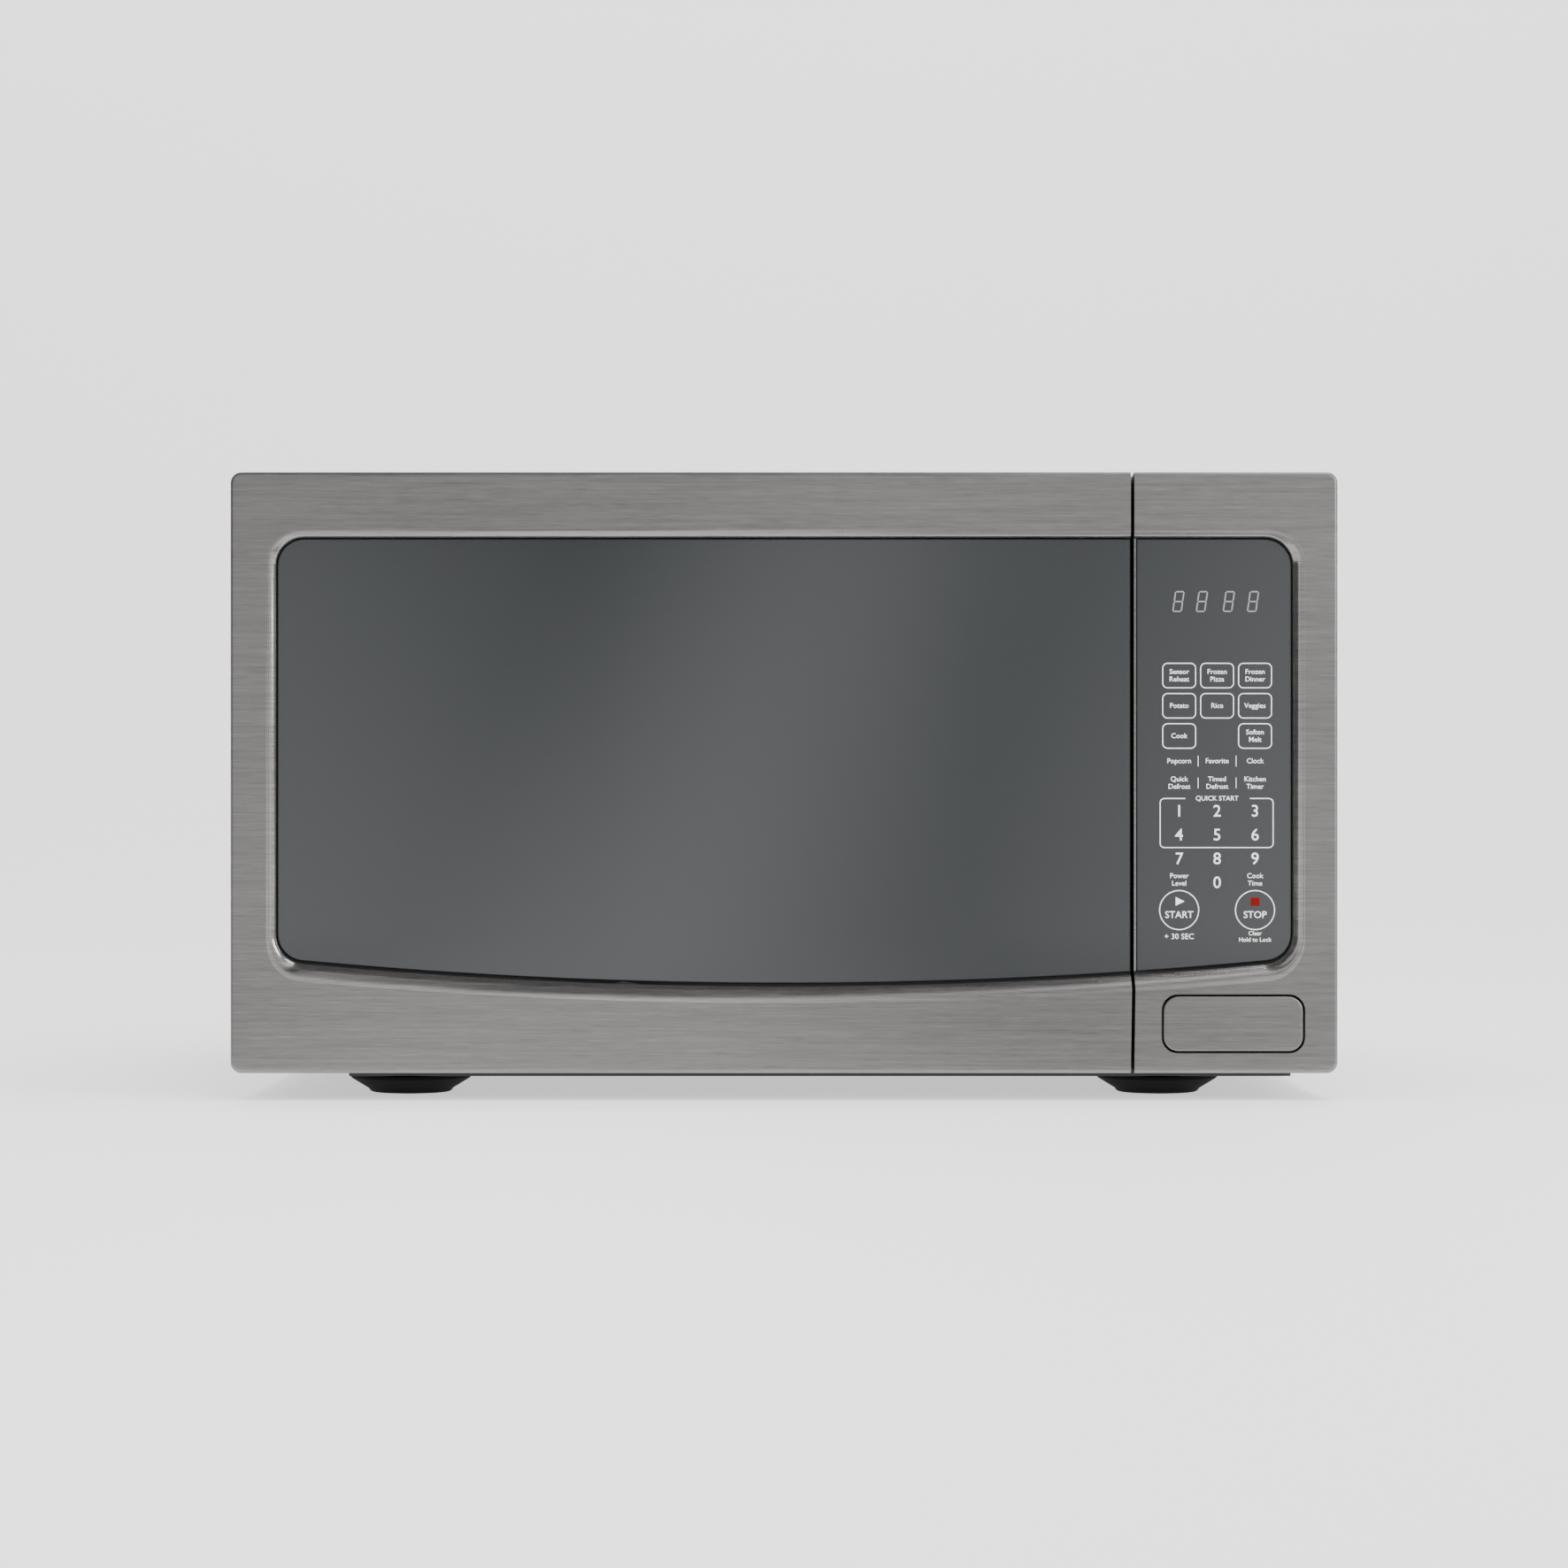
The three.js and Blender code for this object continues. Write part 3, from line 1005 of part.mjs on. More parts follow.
function buildDoor(oven) {
  const door = addGroup(oven);
  addPiece(door, 'door_bezel', doorBezel(), 'brushedSteel');
  addPiece(door, 'door_glass', doorGlass(), 'smokedGlass');
  addPiece(door, 'door_choke_frame', doorChokeFrame(), 'greyEnamel');
  addPiece(door, 'door_screen', doorScreen(), 'darkPaint');
  addPiece(door, 'door_inner_window', doorInnerWindow(), 'clearGlass');
  addPiece(door, 'choke_cover', chokeCover(), 'blackPlastic');
  addPiece(door, 'latch_hook', latchHook(), 'whitePlastic');
  addPiece(door, 'latch_spring', latchSpring(), 'galvanised');
}

function buildControls(oven) {
  const controls = addGroup(oven);
  addPiece(controls, 'control_fascia', controlFascia(), 'brushedSteel');
  addPiece(controls, 'keypad_panel', keypadPanel(), 'smokedGlass');
  addPiece(controls, 'display_module', displayModule(), 'blackPlastic');
  addPiece(controls, 'control_board', controlBoard(), 'circuitBoard');
  addPiece(controls, 'release_button', releaseButton(), 'brushedSteel');
  addPiece(controls, 'button_spring', buttonSpring(), 'galvanised');
  addPiece(controls, 'release_lever', releaseLever(), 'whitePlastic');
  addPiece(controls, 'lever_pin', leverPin(), 'galvanised');
  addPiece(controls, 'latch_board', latchBoard(), 'blackPlastic');
  const switchX = LATCH_BOARD_X[1] + GAP + SWITCH.thickness / 2;
  const switchY = DOOR_BACK + LATCH_REACH - 6;
  for (const [name, height] of Object.entries(SWITCHES)) {
    addPiece(controls, name, microswitch(), 'blackPlastic', [switchX, switchY, height]);
  }
}

function buildOven() {
  const oven = new THREE.Group();
  buildCabinet(oven);
  buildCavity(oven);
  buildTurntable(oven);
  buildPower(oven);
  buildDoor(oven);
  buildControls(oven);
  return oven;
}

export default buildOven();
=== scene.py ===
"""Countertop microwave oven: the visible surfaces and finishes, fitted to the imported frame."""

import json
import math

import bmesh
import bpy
import numpy as np
from bpy.props import FloatProperty, FloatVectorProperty, IntProperty, PointerProperty
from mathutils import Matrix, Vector


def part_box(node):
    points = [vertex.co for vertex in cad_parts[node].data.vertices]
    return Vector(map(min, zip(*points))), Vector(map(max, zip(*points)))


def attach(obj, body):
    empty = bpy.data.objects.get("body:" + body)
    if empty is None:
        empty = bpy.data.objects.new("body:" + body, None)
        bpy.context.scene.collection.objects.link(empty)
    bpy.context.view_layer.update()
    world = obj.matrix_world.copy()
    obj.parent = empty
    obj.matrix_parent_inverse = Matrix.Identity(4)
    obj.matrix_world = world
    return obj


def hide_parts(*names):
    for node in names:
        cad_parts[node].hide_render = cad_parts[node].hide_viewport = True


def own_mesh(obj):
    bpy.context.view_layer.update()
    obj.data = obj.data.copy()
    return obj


bl_info = {
    "name": "Countertop Microwave Oven",
    "version": (1, 0, 0),
    "blender": (4, 5, 0),
    "location": "View3D > Sidebar > Oven",
    "description": "Builds the visible surfaces and finishes of a countertop microwave oven on its frame",
    "category": "Object",
}

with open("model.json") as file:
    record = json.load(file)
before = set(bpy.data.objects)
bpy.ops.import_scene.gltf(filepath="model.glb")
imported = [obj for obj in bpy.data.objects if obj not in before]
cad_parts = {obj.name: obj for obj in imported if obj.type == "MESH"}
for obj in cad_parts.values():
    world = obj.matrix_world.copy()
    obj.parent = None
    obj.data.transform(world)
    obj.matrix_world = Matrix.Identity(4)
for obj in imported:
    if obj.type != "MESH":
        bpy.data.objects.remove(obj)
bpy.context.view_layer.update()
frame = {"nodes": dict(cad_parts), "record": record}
MM = 0.001


# ---------------------------------------------------------------- places taken from the frame
def low(node):
    """Lowest corner of a frame node."""
    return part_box(node)[0]


def high(node):
    """Highest corner of a frame node."""
    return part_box(node)[1]


LEFT, RIGHT = low("door_bezel").x, high("control_fascia").x
FRONT = low("door_bezel").y
BOTTOM, TOP = low("door_bezel").z, high("door_bezel").z
DOOR_RIGHT, FASCIA_LEFT = high("door_bezel").x, low("control_fascia").x
GLASS_FRONT, GLASS_BACK = low("door_glass").y, high("door_glass").y
GLASS_GAP = 0.3 * MM  # between the glass and the edge of its recess, as in the frame
RECESS_LEFT = low("door_glass").x - GLASS_GAP
RECESS_RIGHT = high("keypad_panel").x + GLASS_GAP
RECESS_TOP = high("door_glass").z + GLASS_GAP
RECESS_LOW = low("door_glass").z - GLASS_GAP


def coords(mesh):
    """All vertex places of a mesh, as an array of rows."""
    flat = np.empty(len(mesh.vertices) * 3)
    mesh.vertices.foreach_get("co", flat)
    return flat.reshape(-1, 3)


def sweep_radius():
    """Radius of the recess's curved lower edge, from the keypad panel's lowest corner near its left side:
    on a circle through (0, low) a point at x stands x*x / (2*R) above the lowest point."""
    panel = coords(frame["nodes"]["keypad_panel"].data)
    x = panel[:, 0].min()
    z = panel[np.isclose(panel[:, 0], x), 2].min()
    return x * x / (2 * (z - low("door_glass").z)) + (z - low("door_glass").z) / 2


# ---------------------------------------------------------------- settings
def length(name, text, default, top=1.0):
    """A size in metres."""
    return FloatProperty(name=name, description=text, default=default, min=0, max=top, unit="LENGTH",
                         precision=5)


def colour(name, text, default):
    """A scene-linear colour."""
    return FloatVectorProperty(name=name, description=text, default=default, size=3, min=0, max=1,
                               subtype="COLOR")


class FrontSizes(bpy.types.PropertyGroup):
    """Sizes of the steel front and the glass."""
    skin: length("Skin", "Thickness of the steel skin over the plastic", 0.8 * MM)
    edge: length("Edge radius", "Rounding of the front's outer edge", 1.8 * MM)
    corner: length("Corner radius", "Rounding of the front's outer corners", 6 * MM)
    recess_corner: length("Recess corner", "Radius of the recess's corners at the glass", 15 * MM)
    rim_left: length("Left rim", "Width of the rolled rim at the left of the glass", 4.8 * MM)
    rim_top: length("Top rim", "Width of the rolled rim above the glass", 3.4 * MM)
    rim_right: length("Right rim", "Width of the rolled rim at the right of the keypad", 6 * MM)
    rim_bottom: length("Bottom rim", "Width of the rolled rim below the glass", 8 * MM)
    glass_edge: length("Glass edge", "Ground edge of the glass", 0.5 * MM)
    button_corner: length("Button corner", "Corner radius of the release button", 8 * MM)
    button_gap: length("Button gap", "Gap round the release button", 1.1 * MM)
    wrap: length("Wrap", "How far the steel runs back round the outer edge", 14 * MM)
    seam_low: length("Lower gap", "Dark gap between the glass and the rim below it", 1.3 * MM)
    tuck: length("Tuck", "How far the plastic body stands inside the steel skin", 1.0 * MM)


class KeypadSizes(bpy.types.PropertyGroup):
    """Sizes of the printed keypad."""
    line: length("Line width", "Width of the printed outlines", 0.52 * MM)
    bold: length("Stroke", "How much heavier the printed strokes are made", 0.02 * MM)
    pitch: length("Column pitch", "Distance between the keypad's columns", 20.85 * MM)
    keys_drop: length("Keys", "Top of the front to the middle of the first row of keys", 111.6 * MM)
    row_pitch: length("Row pitch", "Distance between the rows of keys", 16.6 * MM)
    key_width: length("Key width", "Width of one outlined key", 18.6 * MM)
    key_height: length("Key height", "Height of one outlined key", 14.0 * MM)
    key_corner: length("Key corner", "Corner radius of one outlined key", 2.9 * MM)
    numbers_drop: length("Numbers", "Top of the front to the middle of the first row of numbers", 186.3 * MM)
    number_pitch: length("Number pitch", "Distance between the rows of numbers", 13.1 * MM)
    digit: length("Digit height", "Height of the keypad's numbers", 6.7 * MM)
    caption: length("Caption height", "Height of the small captions", 2.85 * MM)
    segment: length("Segment", "Width of one bar of the display's digits", 0.72 * MM)
    pads_drop: length("Pads", "Top of the front to the middle of the start and stop pads", 240.5 * MM)
    pad_radius: length("Pad radius", "Radius of the start and stop pads", 11.0 * MM)
    ink: length("Ink thickness", "How far the printing stands on the glass", 0.05 * MM)


class SheetSizes(bpy.types.PropertyGroup):
    """Sizes of the sheet metal and the perforated screen."""
    bend: length("Bend radius", "Outer radius of the cover's two bends", 2.5 * MM)
    cover: length("Cover sheet", "Thickness of the cover", 0.8 * MM)
    screen_pitch: length("Screen pitch", "Distance between the holes of the door's screen", 4.3 * MM)
    screen_hole: length("Screen hole", "Width of one hole of the door's screen", 3.3 * MM)
    wire: length("Spring wire", "Diameter of the springs' wire", 0.9 * MM)
    turns: IntProperty(name="Spring turns", description="Turns of each coil spring", default=8, min=2,
                       max=30)


class Finishes(bpy.types.PropertyGroup):
    """Base colours of the finishes."""
    steel: colour("Brushed steel", "Front of the door and the fascia", (0.214, 0.209, 0.205))
    glass: colour("Smoked glass", "Door glass and keypad panel", (0.022, 0.0245, 0.026))
    paint: colour("Cover paint", "Painted cover", (0.030, 0.031, 0.033))
    zinc: colour("Zinc", "Galvanised sheet", (0.40, 0.42, 0.43))
    enamel: colour("Enamel", "Painted cavity", (0.36, 0.36, 0.35))
    black: colour("Black plastic", "Black moulded pieces", (0.014, 0.014, 0.015))
    white: colour("White plastic", "Natural acetal pieces", (0.70, 0.70, 0.66))
    ink: colour("White ink", "Printing on the keypad", (0.90, 0.91, 0.92))
    red: colour("Red ink", "Mark on the stop pad", (0.17, 0.001, 0.001))
    digits: colour("Display", "Unlit display segments", (0.27, 0.28, 0.29))
    floor: colour("Floor", "Studio floor", (0.90, 0.90, 0.90))


def power(name, text, default):
    """A light's power in watts."""
    return FloatProperty(name=name, description=text, default=default, min=0, unit="POWER")


def amount(name, text, default):
    """A plain number."""
    return FloatProperty(name=name, description=text, default=default)


class Studio(bpy.types.PropertyGroup):
    """Lights and the card that the glass reflects."""
    ambient: amount("Ambient", "Brightness of the surroundings", 0.59)
    top_power: power("Top light", "Power of the light above", 60)
    right_power: power("Right light", "Power of the light at the right", 46)
    left_power: power("Left light", "Power of the light at the left", 9)
    band_strength: amount("Band", "Brightness of the reflected band", 1.0)
    band_width: length("Band width", "Half width of the reflected band", 0.34, 5)
    band_slant: amount("Band slant", "Sideways shift of the band for each unit of height", -0.42)
    band_x: amount("Band place", "Middle of the band at the floor, in metres", -0.138)
    side_strength: amount("Side glow", "Brightness of the reflected glow at both sides", 0.74)
    right_extra: amount("Right extra", "How much brighter the glow is at the right, as a share", 0.22)
    low_strength: amount("Low glow", "Brightness of the reflected glow at the floor", 0.62)
    floor_glow: amount("Floor glow", "Light that the floor and the wall give by themselves", 0.82)
    front_power: power("Front light", "Power of the light above the camera", 40)


class OvenSettings(bpy.types.PropertyGroup):
    """All settings of the oven."""
    front: PointerProperty(type=FrontSizes, name="Front", description="Steel front and glass")
    keypad: PointerProperty(type=KeypadSizes, name="Keypad", description="Printed keypad")
    sheet: PointerProperty(type=SheetSizes, name="Sheet metal", description="Sheets, screen and springs")
    finish: PointerProperty(type=Finishes, name="Finishes", description="Base colours")
    studio: PointerProperty(type=Studio, name="Studio", description="Lights and camera")
    camera_distance: length("Camera distance", "Camera to the front of the door", 2.39, 20)
    camera_height: length("Camera height", "Camera above the floor", 0.1738, 5)
    view_width: length("View width", "Width that the picture takes in at the door", 0.8605, 5)


def settings():
    """The scene's oven settings."""
    return bpy.context.scene.oven_settings


# ---------------------------------------------------------------- surfaces
def grid_quads(rows, cols, wrap_rows=False, wrap_cols=False):
    """Quads of a grid of rows by cols vertices, numbered row by row, closed along either way if asked."""
    r = np.arange(rows if wrap_rows else rows - 1)
    c = np.arange(cols if wrap_cols else cols - 1)
    r, c = np.meshgrid(r, c, indexing="ij")
    r2, c2 = (r + 1) % rows, (c + 1) % cols
    return np.stack([r * cols + c, r2 * cols + c, r2 * cols + c2, r * cols + c2], -1).reshape(-1, 4)


class Surface:
    """A growing list of vertices and faces, for one mesh."""

    def __init__(self):
        self.places, self.faces, self.count = [], [], 0

    def add(self, places, faces):
        """Adds vertices and the faces that number them from 0."""
        places = np.asarray(places, float).reshape(-1, 3)
        self.faces += [tuple(int(i) + self.count for i in face) for face in faces]
        self.places.append(places)
        self.count += len(places)
        return self

    def sweep(self, sections, closed=False, caps=True):
        """Closed cross-sections carried along a path: an array of path steps by section points by 3.
        A closed path joins its last section to its first, and an open one is capped by flat faces."""
        sections = np.asarray(sections, float)
        steps, points = sections.shape[:2]
        faces = [tuple(q) for q in grid_quads(steps, points, closed, True)]
        if not closed and caps:
            faces += [tuple(range(points))[::-1], tuple(range((steps - 1) * points, steps * points))]
        return self.add(sections, faces)

    def lathe(self, profile, centre, axis="z", sides=64):
        """A profile of (radius, height) points turned about an axis through centre.
        A point on the axis becomes one pole, and a profile that ends off the axis closes on itself."""
        profile = np.asarray(profile, float)
        turn = np.linspace(0, 2 * np.pi, sides, endpoint=False)
        ring = np.stack([np.cos(turn), np.sin(turn)], -1)
        off = profile[:, 0] > 1e-9
        rows = profile[off]
        flat = rows[:, None, :1] * ring[None]
        height = np.broadcast_to(rows[:, None, 1:], flat.shape[:2] + (1,))
        order = {"z": [0, 1, 2], "x": [2, 0, 1], "y": [1, 2, 0]}[axis]
        places = np.concatenate([flat, height], -1)[..., order].reshape(-1, 3) + centre
        count = len(rows)
        faces = [tuple(q) for q in grid_quads(count, sides, bool(off.all()), True)[:, ::-1]]
        poles = []
        for end, row in ((0, 0), (-1, count - 1)):
            if off[end]:
                continue
            pole = count * sides + len(poles)
            poles.append(np.array([0, 0, profile[end, 1]])[order] + centre)
            i = np.arange(sides)
            j = (i + 1) % sides
            a, b = (i, j) if end == -1 else (j, i)
            faces += [(int(row * sides + p), int(row * sides + q), pole) for p, q in zip(a, b)]
        return self.add(np.concatenate([places, np.reshape(poles, (-1, 3))]), faces)

    def turn_out(self, mesh):
        """Makes every face point outwards after doubles are merged."""
        work = bmesh.new()
        work.from_mesh(mesh)
        bmesh.ops.remove_doubles(work, verts=work.verts, dist=1e-7)
        bmesh.ops.recalc_face_normals(work, faces=work.faces)
        work.to_mesh(mesh)
        work.free()

    def piece(self, name, body, slot, material, replaces=(), smooth=35):
        """The mesh as an object that rides on a body, with creases sharper than smooth degrees kept."""
        mesh = bpy.data.meshes.new(name)
        mesh.from_pydata(np.concatenate(self.places).tolist(), [], self.faces)
        self.turn_out(mesh)
        return place(name, mesh, body, material, replaces, smooth)


STOOD_FOR = set()  # frame nodes that a new piece stands for


def place(name, mesh, body, material, replaces=(), smooth=35):
    """Links a mesh as a finished piece: finish, shading, body and the frame nodes that it stands for."""
    piece = bpy.data.objects.new(name, mesh)
    bpy.context.scene.collection.objects.link(piece)
    mesh.materials.clear()
    mesh.materials.append(material)
    mesh.shade_smooth()
    mesh.set_sharp_from_angle(angle=math.radians(smooth))
    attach(piece, body)
    if replaces:
        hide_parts(*replaces)
        STOOD_FOR.update(replaces)
    return piece


def arc(centre, radius, start, end, steps):
    """Points on an arc from start to end, in degrees, as rows of two numbers."""
    turn = np.radians(np.linspace(start, end, steps))
    return np.stack([centre[0] + radius * np.cos(turn), centre[1] + radius * np.sin(turn)], -1)


def rounded_outline(x0, x1, z0, z1, radius, steps=8):
    """A rounded rectangle as a closed loop of points, counter-clockwise from its right side."""
    return np.concatenate([
        arc((x1 - radius, z1 - radius), radius, 0, 90, steps),
        arc((x0 + radius, z1 - radius), radius, 90, 180, steps),
        arc((x0 + radius, z0 + radius), radius, 180, 270, steps),
        arc((x1 - radius, z0 + radius), radius, 270, 360, steps),
    ])


def facing(points, y):
    """Front-view points of X and Z, put at a depth Y."""
    points = np.asarray(points, float)
    return np.stack([points[..., 0], np.broadcast_to(y, points.shape[:-1]), points[..., 1]], -1)


def tube_along(path, radius, sides=8):
    """Rings of a round tube along a path: each ring stands square to the path's direction, and is turned
    as little as possible from the one before, by projecting a fixed reference off the direction."""
    path = np.asarray(path, float)
    along = np.gradient(path, axis=0)
    along /= np.linalg.norm(along, axis=1, keepdims=True)
    side = np.cross(along, [0.0, 0.0, 1.0])
    weak = np.linalg.norm(side, axis=1) < 0.05
    side[weak] = np.cross(along[weak], [0.0, 1.0, 0.0])
    side /= np.linalg.norm(side, axis=1, keepdims=True)
    up = np.cross(side, along)
    turn = np.linspace(0, 2 * np.pi, sides, endpoint=False)
    ring = np.cos(turn)[None, :, None] * side[:, None] + np.sin(turn)[None, :, None] * up[:, None]
    return path[:, None] + radius * ring


def box_surface(lo, hi, edge=0.4 * MM):
    """A block with small chamfered edges, as eight loops stacked along Z."""
    (x0, y0, z0), (x1, y1, z1) = lo, hi
    edge = min(edge, (x1 - x0) / 3, (y1 - y0) / 3, (z1 - z0) / 3)

    def loop(inset, z):
        outline = rounded_outline(x0 + inset, x1 - inset, y0 + inset, y1 - inset, edge * 1.001, 2)
        return np.concatenate([outline, np.full((len(outline), 1), z)], -1)

    return np.stack([loop(edge * 0.9, z0), loop(0, z0 + edge), loop(0, z1 - edge), loop(edge * 0.9, z1)])


# ---------------------------------------------------------------- finishes
class Value:
    """A number that a socket carries, so that shader maths reads as arithmetic."""

    def __init__(self, shader, socket):
        self.shader, self.socket = shader, socket

    def maths(self, operation, *others):
        """One Math node on this value and the others."""
        return self.shader.maths(operation, self, *others)

    def __add__(self, other): return self.maths("ADD", other)
    def __radd__(self, other): return self.maths("ADD", other)
    def __sub__(self, other): return self.maths("SUBTRACT", other)
    def __rsub__(self, other): return self.shader.maths("SUBTRACT", other, self)
    def __mul__(self, other): return self.maths("MULTIPLY", other)
    def __rmul__(self, other): return self.maths("MULTIPLY", other)
    def __truediv__(self, other): return self.maths("DIVIDE", other)
    def __rtruediv__(self, other): return self.shader.maths("DIVIDE", other, self)
    def __pow__(self, other): return self.maths("POWER", other)

    def step(self, edge, soft):
        """0 below edge and 1 above it, over a soft width."""
        return ((self - edge) / soft + 0.5).clamp()

    def clamp(self):
        """The value kept from 0 to 1."""
        clamped = self.maths("ADD", 0.0)
        clamped.socket.node.use_clamp = True
        return clamped


class Shader:
    """A new material, with its shader's own sockets set from keywords."""

    def __init__(self, name, **sockets):
        self.material = bpy.data.materials.new(name)
        self.material.use_nodes = True
        self.tree = self.material.node_tree
        self.surface = self.tree.nodes["Principled BSDF"]
        self.set(**sockets)

    def set(self, **sockets):
        """Sets or links the shader's sockets: base_color names Base Color."""
        for name, value in sockets.items():
            self.put(self.surface.inputs[name.replace("_", " ").title().replace("Ior", "IOR")], value)
        return self

    def put(self, socket, value):
        """Links a Value or a socket, or sets a plain number or colour."""
        if isinstance(value, Value):
            value = value.socket
        if isinstance(value, bpy.types.NodeSocket):
            self.tree.links.new(value, socket)
        elif socket.type == "RGBA" and len(value) == 3:
            socket.default_value = (*value, 1)
        else:
            socket.default_value = value

    def node(self, kind, settings=None, inputs=None):
        """A node of a type, its settings set first and then its sockets by name or number."""
        made = self.tree.nodes.new(kind)
        for name, value in (settings or {}).items():
            setattr(made, name, value)
        for name, value in (inputs or {}).items():
            self.put(made.inputs[name], value)
        return made

    def maths(self, operation, *values):
        """A Math node's result."""
        made = self.node("ShaderNodeMath", {"operation": operation}, dict(enumerate(values)))
        return Value(self, made.outputs[0])

    def place(self, scale=(1, 1, 1), shift=(0, 0, 0)):
        """Object coordinates, scaled and shifted."""
        where = self.node("ShaderNodeTexCoord").outputs["Object"]
        inputs = {"Vector": where, "Scale": scale, "Location": shift}
        return self.node("ShaderNodeMapping", {}, inputs).outputs["Vector"]

    def axis(self, name):
        """One of the object coordinates, in metres."""
        where = self.node("ShaderNodeTexCoord").outputs["Object"]
        split = self.node("ShaderNodeSeparateXYZ", {}, {0: where})
        return Value(self, split.outputs[name])

    def noise(self, scale, detail=2, roughness=0.5, shift=(0, 0, 0)):
        """Noise from 0 to 1, with a scale along each axis in cells per metre."""
        inputs = {"Vector": self.place(scale, shift), "Scale": 1.0, "Detail": detail, "Roughness": roughness}
        return Value(self, self.node("ShaderNodeTexNoise", {}, inputs).outputs["Fac"])

    def mix(self, share, first, second):
        """A colour between two."""
        made = self.node("ShaderNodeMix", {"data_type": "RGBA"})
        sockets = made.inputs["Factor"], made.inputs[6], made.inputs[7]
        for socket, value in zip(sockets, (share, first, second)):
            self.put(socket, value)
        return made.outputs[2]

    def bump(self, height, strength, distance):
        """A bump on the shader's Normal, with its distance in metres."""
        inputs = {"Height": height, "Strength": strength, "Distance": distance}
        return self.set(normal=self.node("ShaderNodeBump", {}, inputs).outputs["Normal"])


def shade(colour_value, share):
    """A colour made lighter or darker by a share, worked out in Python."""
    return tuple(min(1.0, c * share) for c in colour_value)


def brushed(name, base, along="x", rough=0.34):
    """Brushed steel: short streaks along one axis, 0.4 mm apart, in brightness, roughness and height."""
    fine = {"x": (75, 300, 2900), "z": (2900, 300, 75), "y": (2900, 75, 2900)}[along]
    coarse = {"x": (16, 60, 760), "z": (760, 60, 16), "y": (760, 16, 760)}[along]
    made = Shader(name, metallic=0.92, roughness=rough, specular_ior_level=0.5)
    streak = made.noise(fine, 3, 0.6)
    band = made.noise(coarse, 2, 0.5, (3.1, 1.7, 5.2))
    cloud = made.noise((5, 5, 7), 1, 0.5, (0.4, 0.2, 0.9))
    amount = ((streak - 0.5) * 1.6 + (band - 0.5) * 0.9 + (cloud - 0.5) * 0.35 + 0.5).clamp()
    made.set(base_color=made.mix(amount, shade(base, 0.74), shade(base, 1.27)))
    made.set(roughness=rough + (band - 0.5) * 0.10 + (streak - 0.5) * 0.12)
    return made.bump(streak + band * 0.25, 0.2, 0.00004).material


def smoked_glass(name, base):
    """Dark coated glass: an even base with a faint cloud, under a polished coat."""
    made = Shader(name, metallic=0.0, roughness=0.3, coat_weight=1.0, coat_roughness=0.03, coat_ior=1.52)
    made.set(specular_ior_level=0.25)
    cloud = made.noise((6, 6, 6), 1, 0.5)
    made.set(base_color=made.mix(cloud, shade(base, 0.93), shade(base, 1.07)))
    return made.material


def paint(name, base, rough=0.5, grain=0.3, metallic=0.0):
    """Sprayed paint: fine orange peel, with slow changes of tone."""
    made = Shader(name, metallic=metallic, roughness=rough, specular_ior_level=0.45)
    peel = made.noise((900, 900, 900), 3, 0.6)
    tone = made.noise((9, 9, 9), 2, 0.5)
    made.set(base_color=made.mix(tone, shade(base, 0.88), shade(base, 1.12)))
    made.set(roughness=rough + (peel - 0.5) * 0.18)
    return made.bump(peel, grain, 0.00012).material


def enamel(name, base):
    """Light grey cavity paint with fine darker specks."""
    made = Shader(name, roughness=0.38, coat_weight=0.25, coat_roughness=0.2)
    speck = made.noise((1400, 1400, 1400), 1, 0.4).step(0.66, 0.06)
    tone = made.noise((7, 7, 7), 2, 0.5)
    plain = made.mix(tone, shade(base, 0.92), shade(base, 1.06))
    made.set(base_color=made.mix(speck, plain, shade(base, 0.42)))
    return made.bump(made.noise((420, 420, 420), 2, 0.5), 0.12, 0.0001).material


def zinc(name, base):
    """Hot-dip zinc: crystals a few millimetres across, each with its own tone and roughness."""
    made = Shader(name, metallic=0.85, roughness=0.42)
    cell = made.node("ShaderNodeTexVoronoi", {"feature": "F1"},
                     {"Vector": made.place((150, 150, 150)), "Scale": 1.0})
    tone = made.node("ShaderNodeSeparateColor", {}, {0: cell.outputs["Color"]})
    red = Value(made, tone.outputs[0])
    made.set(base_color=made.mix(red, shade(base, 0.78), shade(base, 1.16)))
    made.set(roughness=0.36 + red * 0.16)
    return made.bump(made.noise((500, 500, 500), 2, 0.5), 0.08, 0.0001).material


def moulded(name, base, rough=0.5, grain=0.25, size=1600, shine=0.4):
    """Moulded plastic or rubber: spark-eroded grain in height and roughness."""
    made = Shader(name, roughness=rough, specular_ior_level=shine)
    pits = made.noise((size, size, size), 2, 0.6)
    tone = made.noise((14, 14, 14), 1, 0.5)
    made.set(base_color=made.mix(tone, shade(base, 0.9), shade(base, 1.12)))
    made.set(roughness=rough + (pits - 0.5) * 0.2)
    return made.bump(pits, grain, 0.00008).material


def clear_glass(name, tint, cover, rough=0.04):
    """Thin clear glass: mostly see-through, with its tint, its reflections and very slight waves."""
    made = Shader(name, roughness=rough, alpha=cover, specular_ior_level=0.8, coat_weight=0.6,
                  coat_roughness=0.03)
    made.set(base_color=made.mix(made.noise((20, 20, 20), 1, 0.5), shade(tint, 0.96), shade(tint, 1.04)))
    return made.bump(made.noise((30, 30, 30), 1, 0.4), 0.05, 0.0004).material


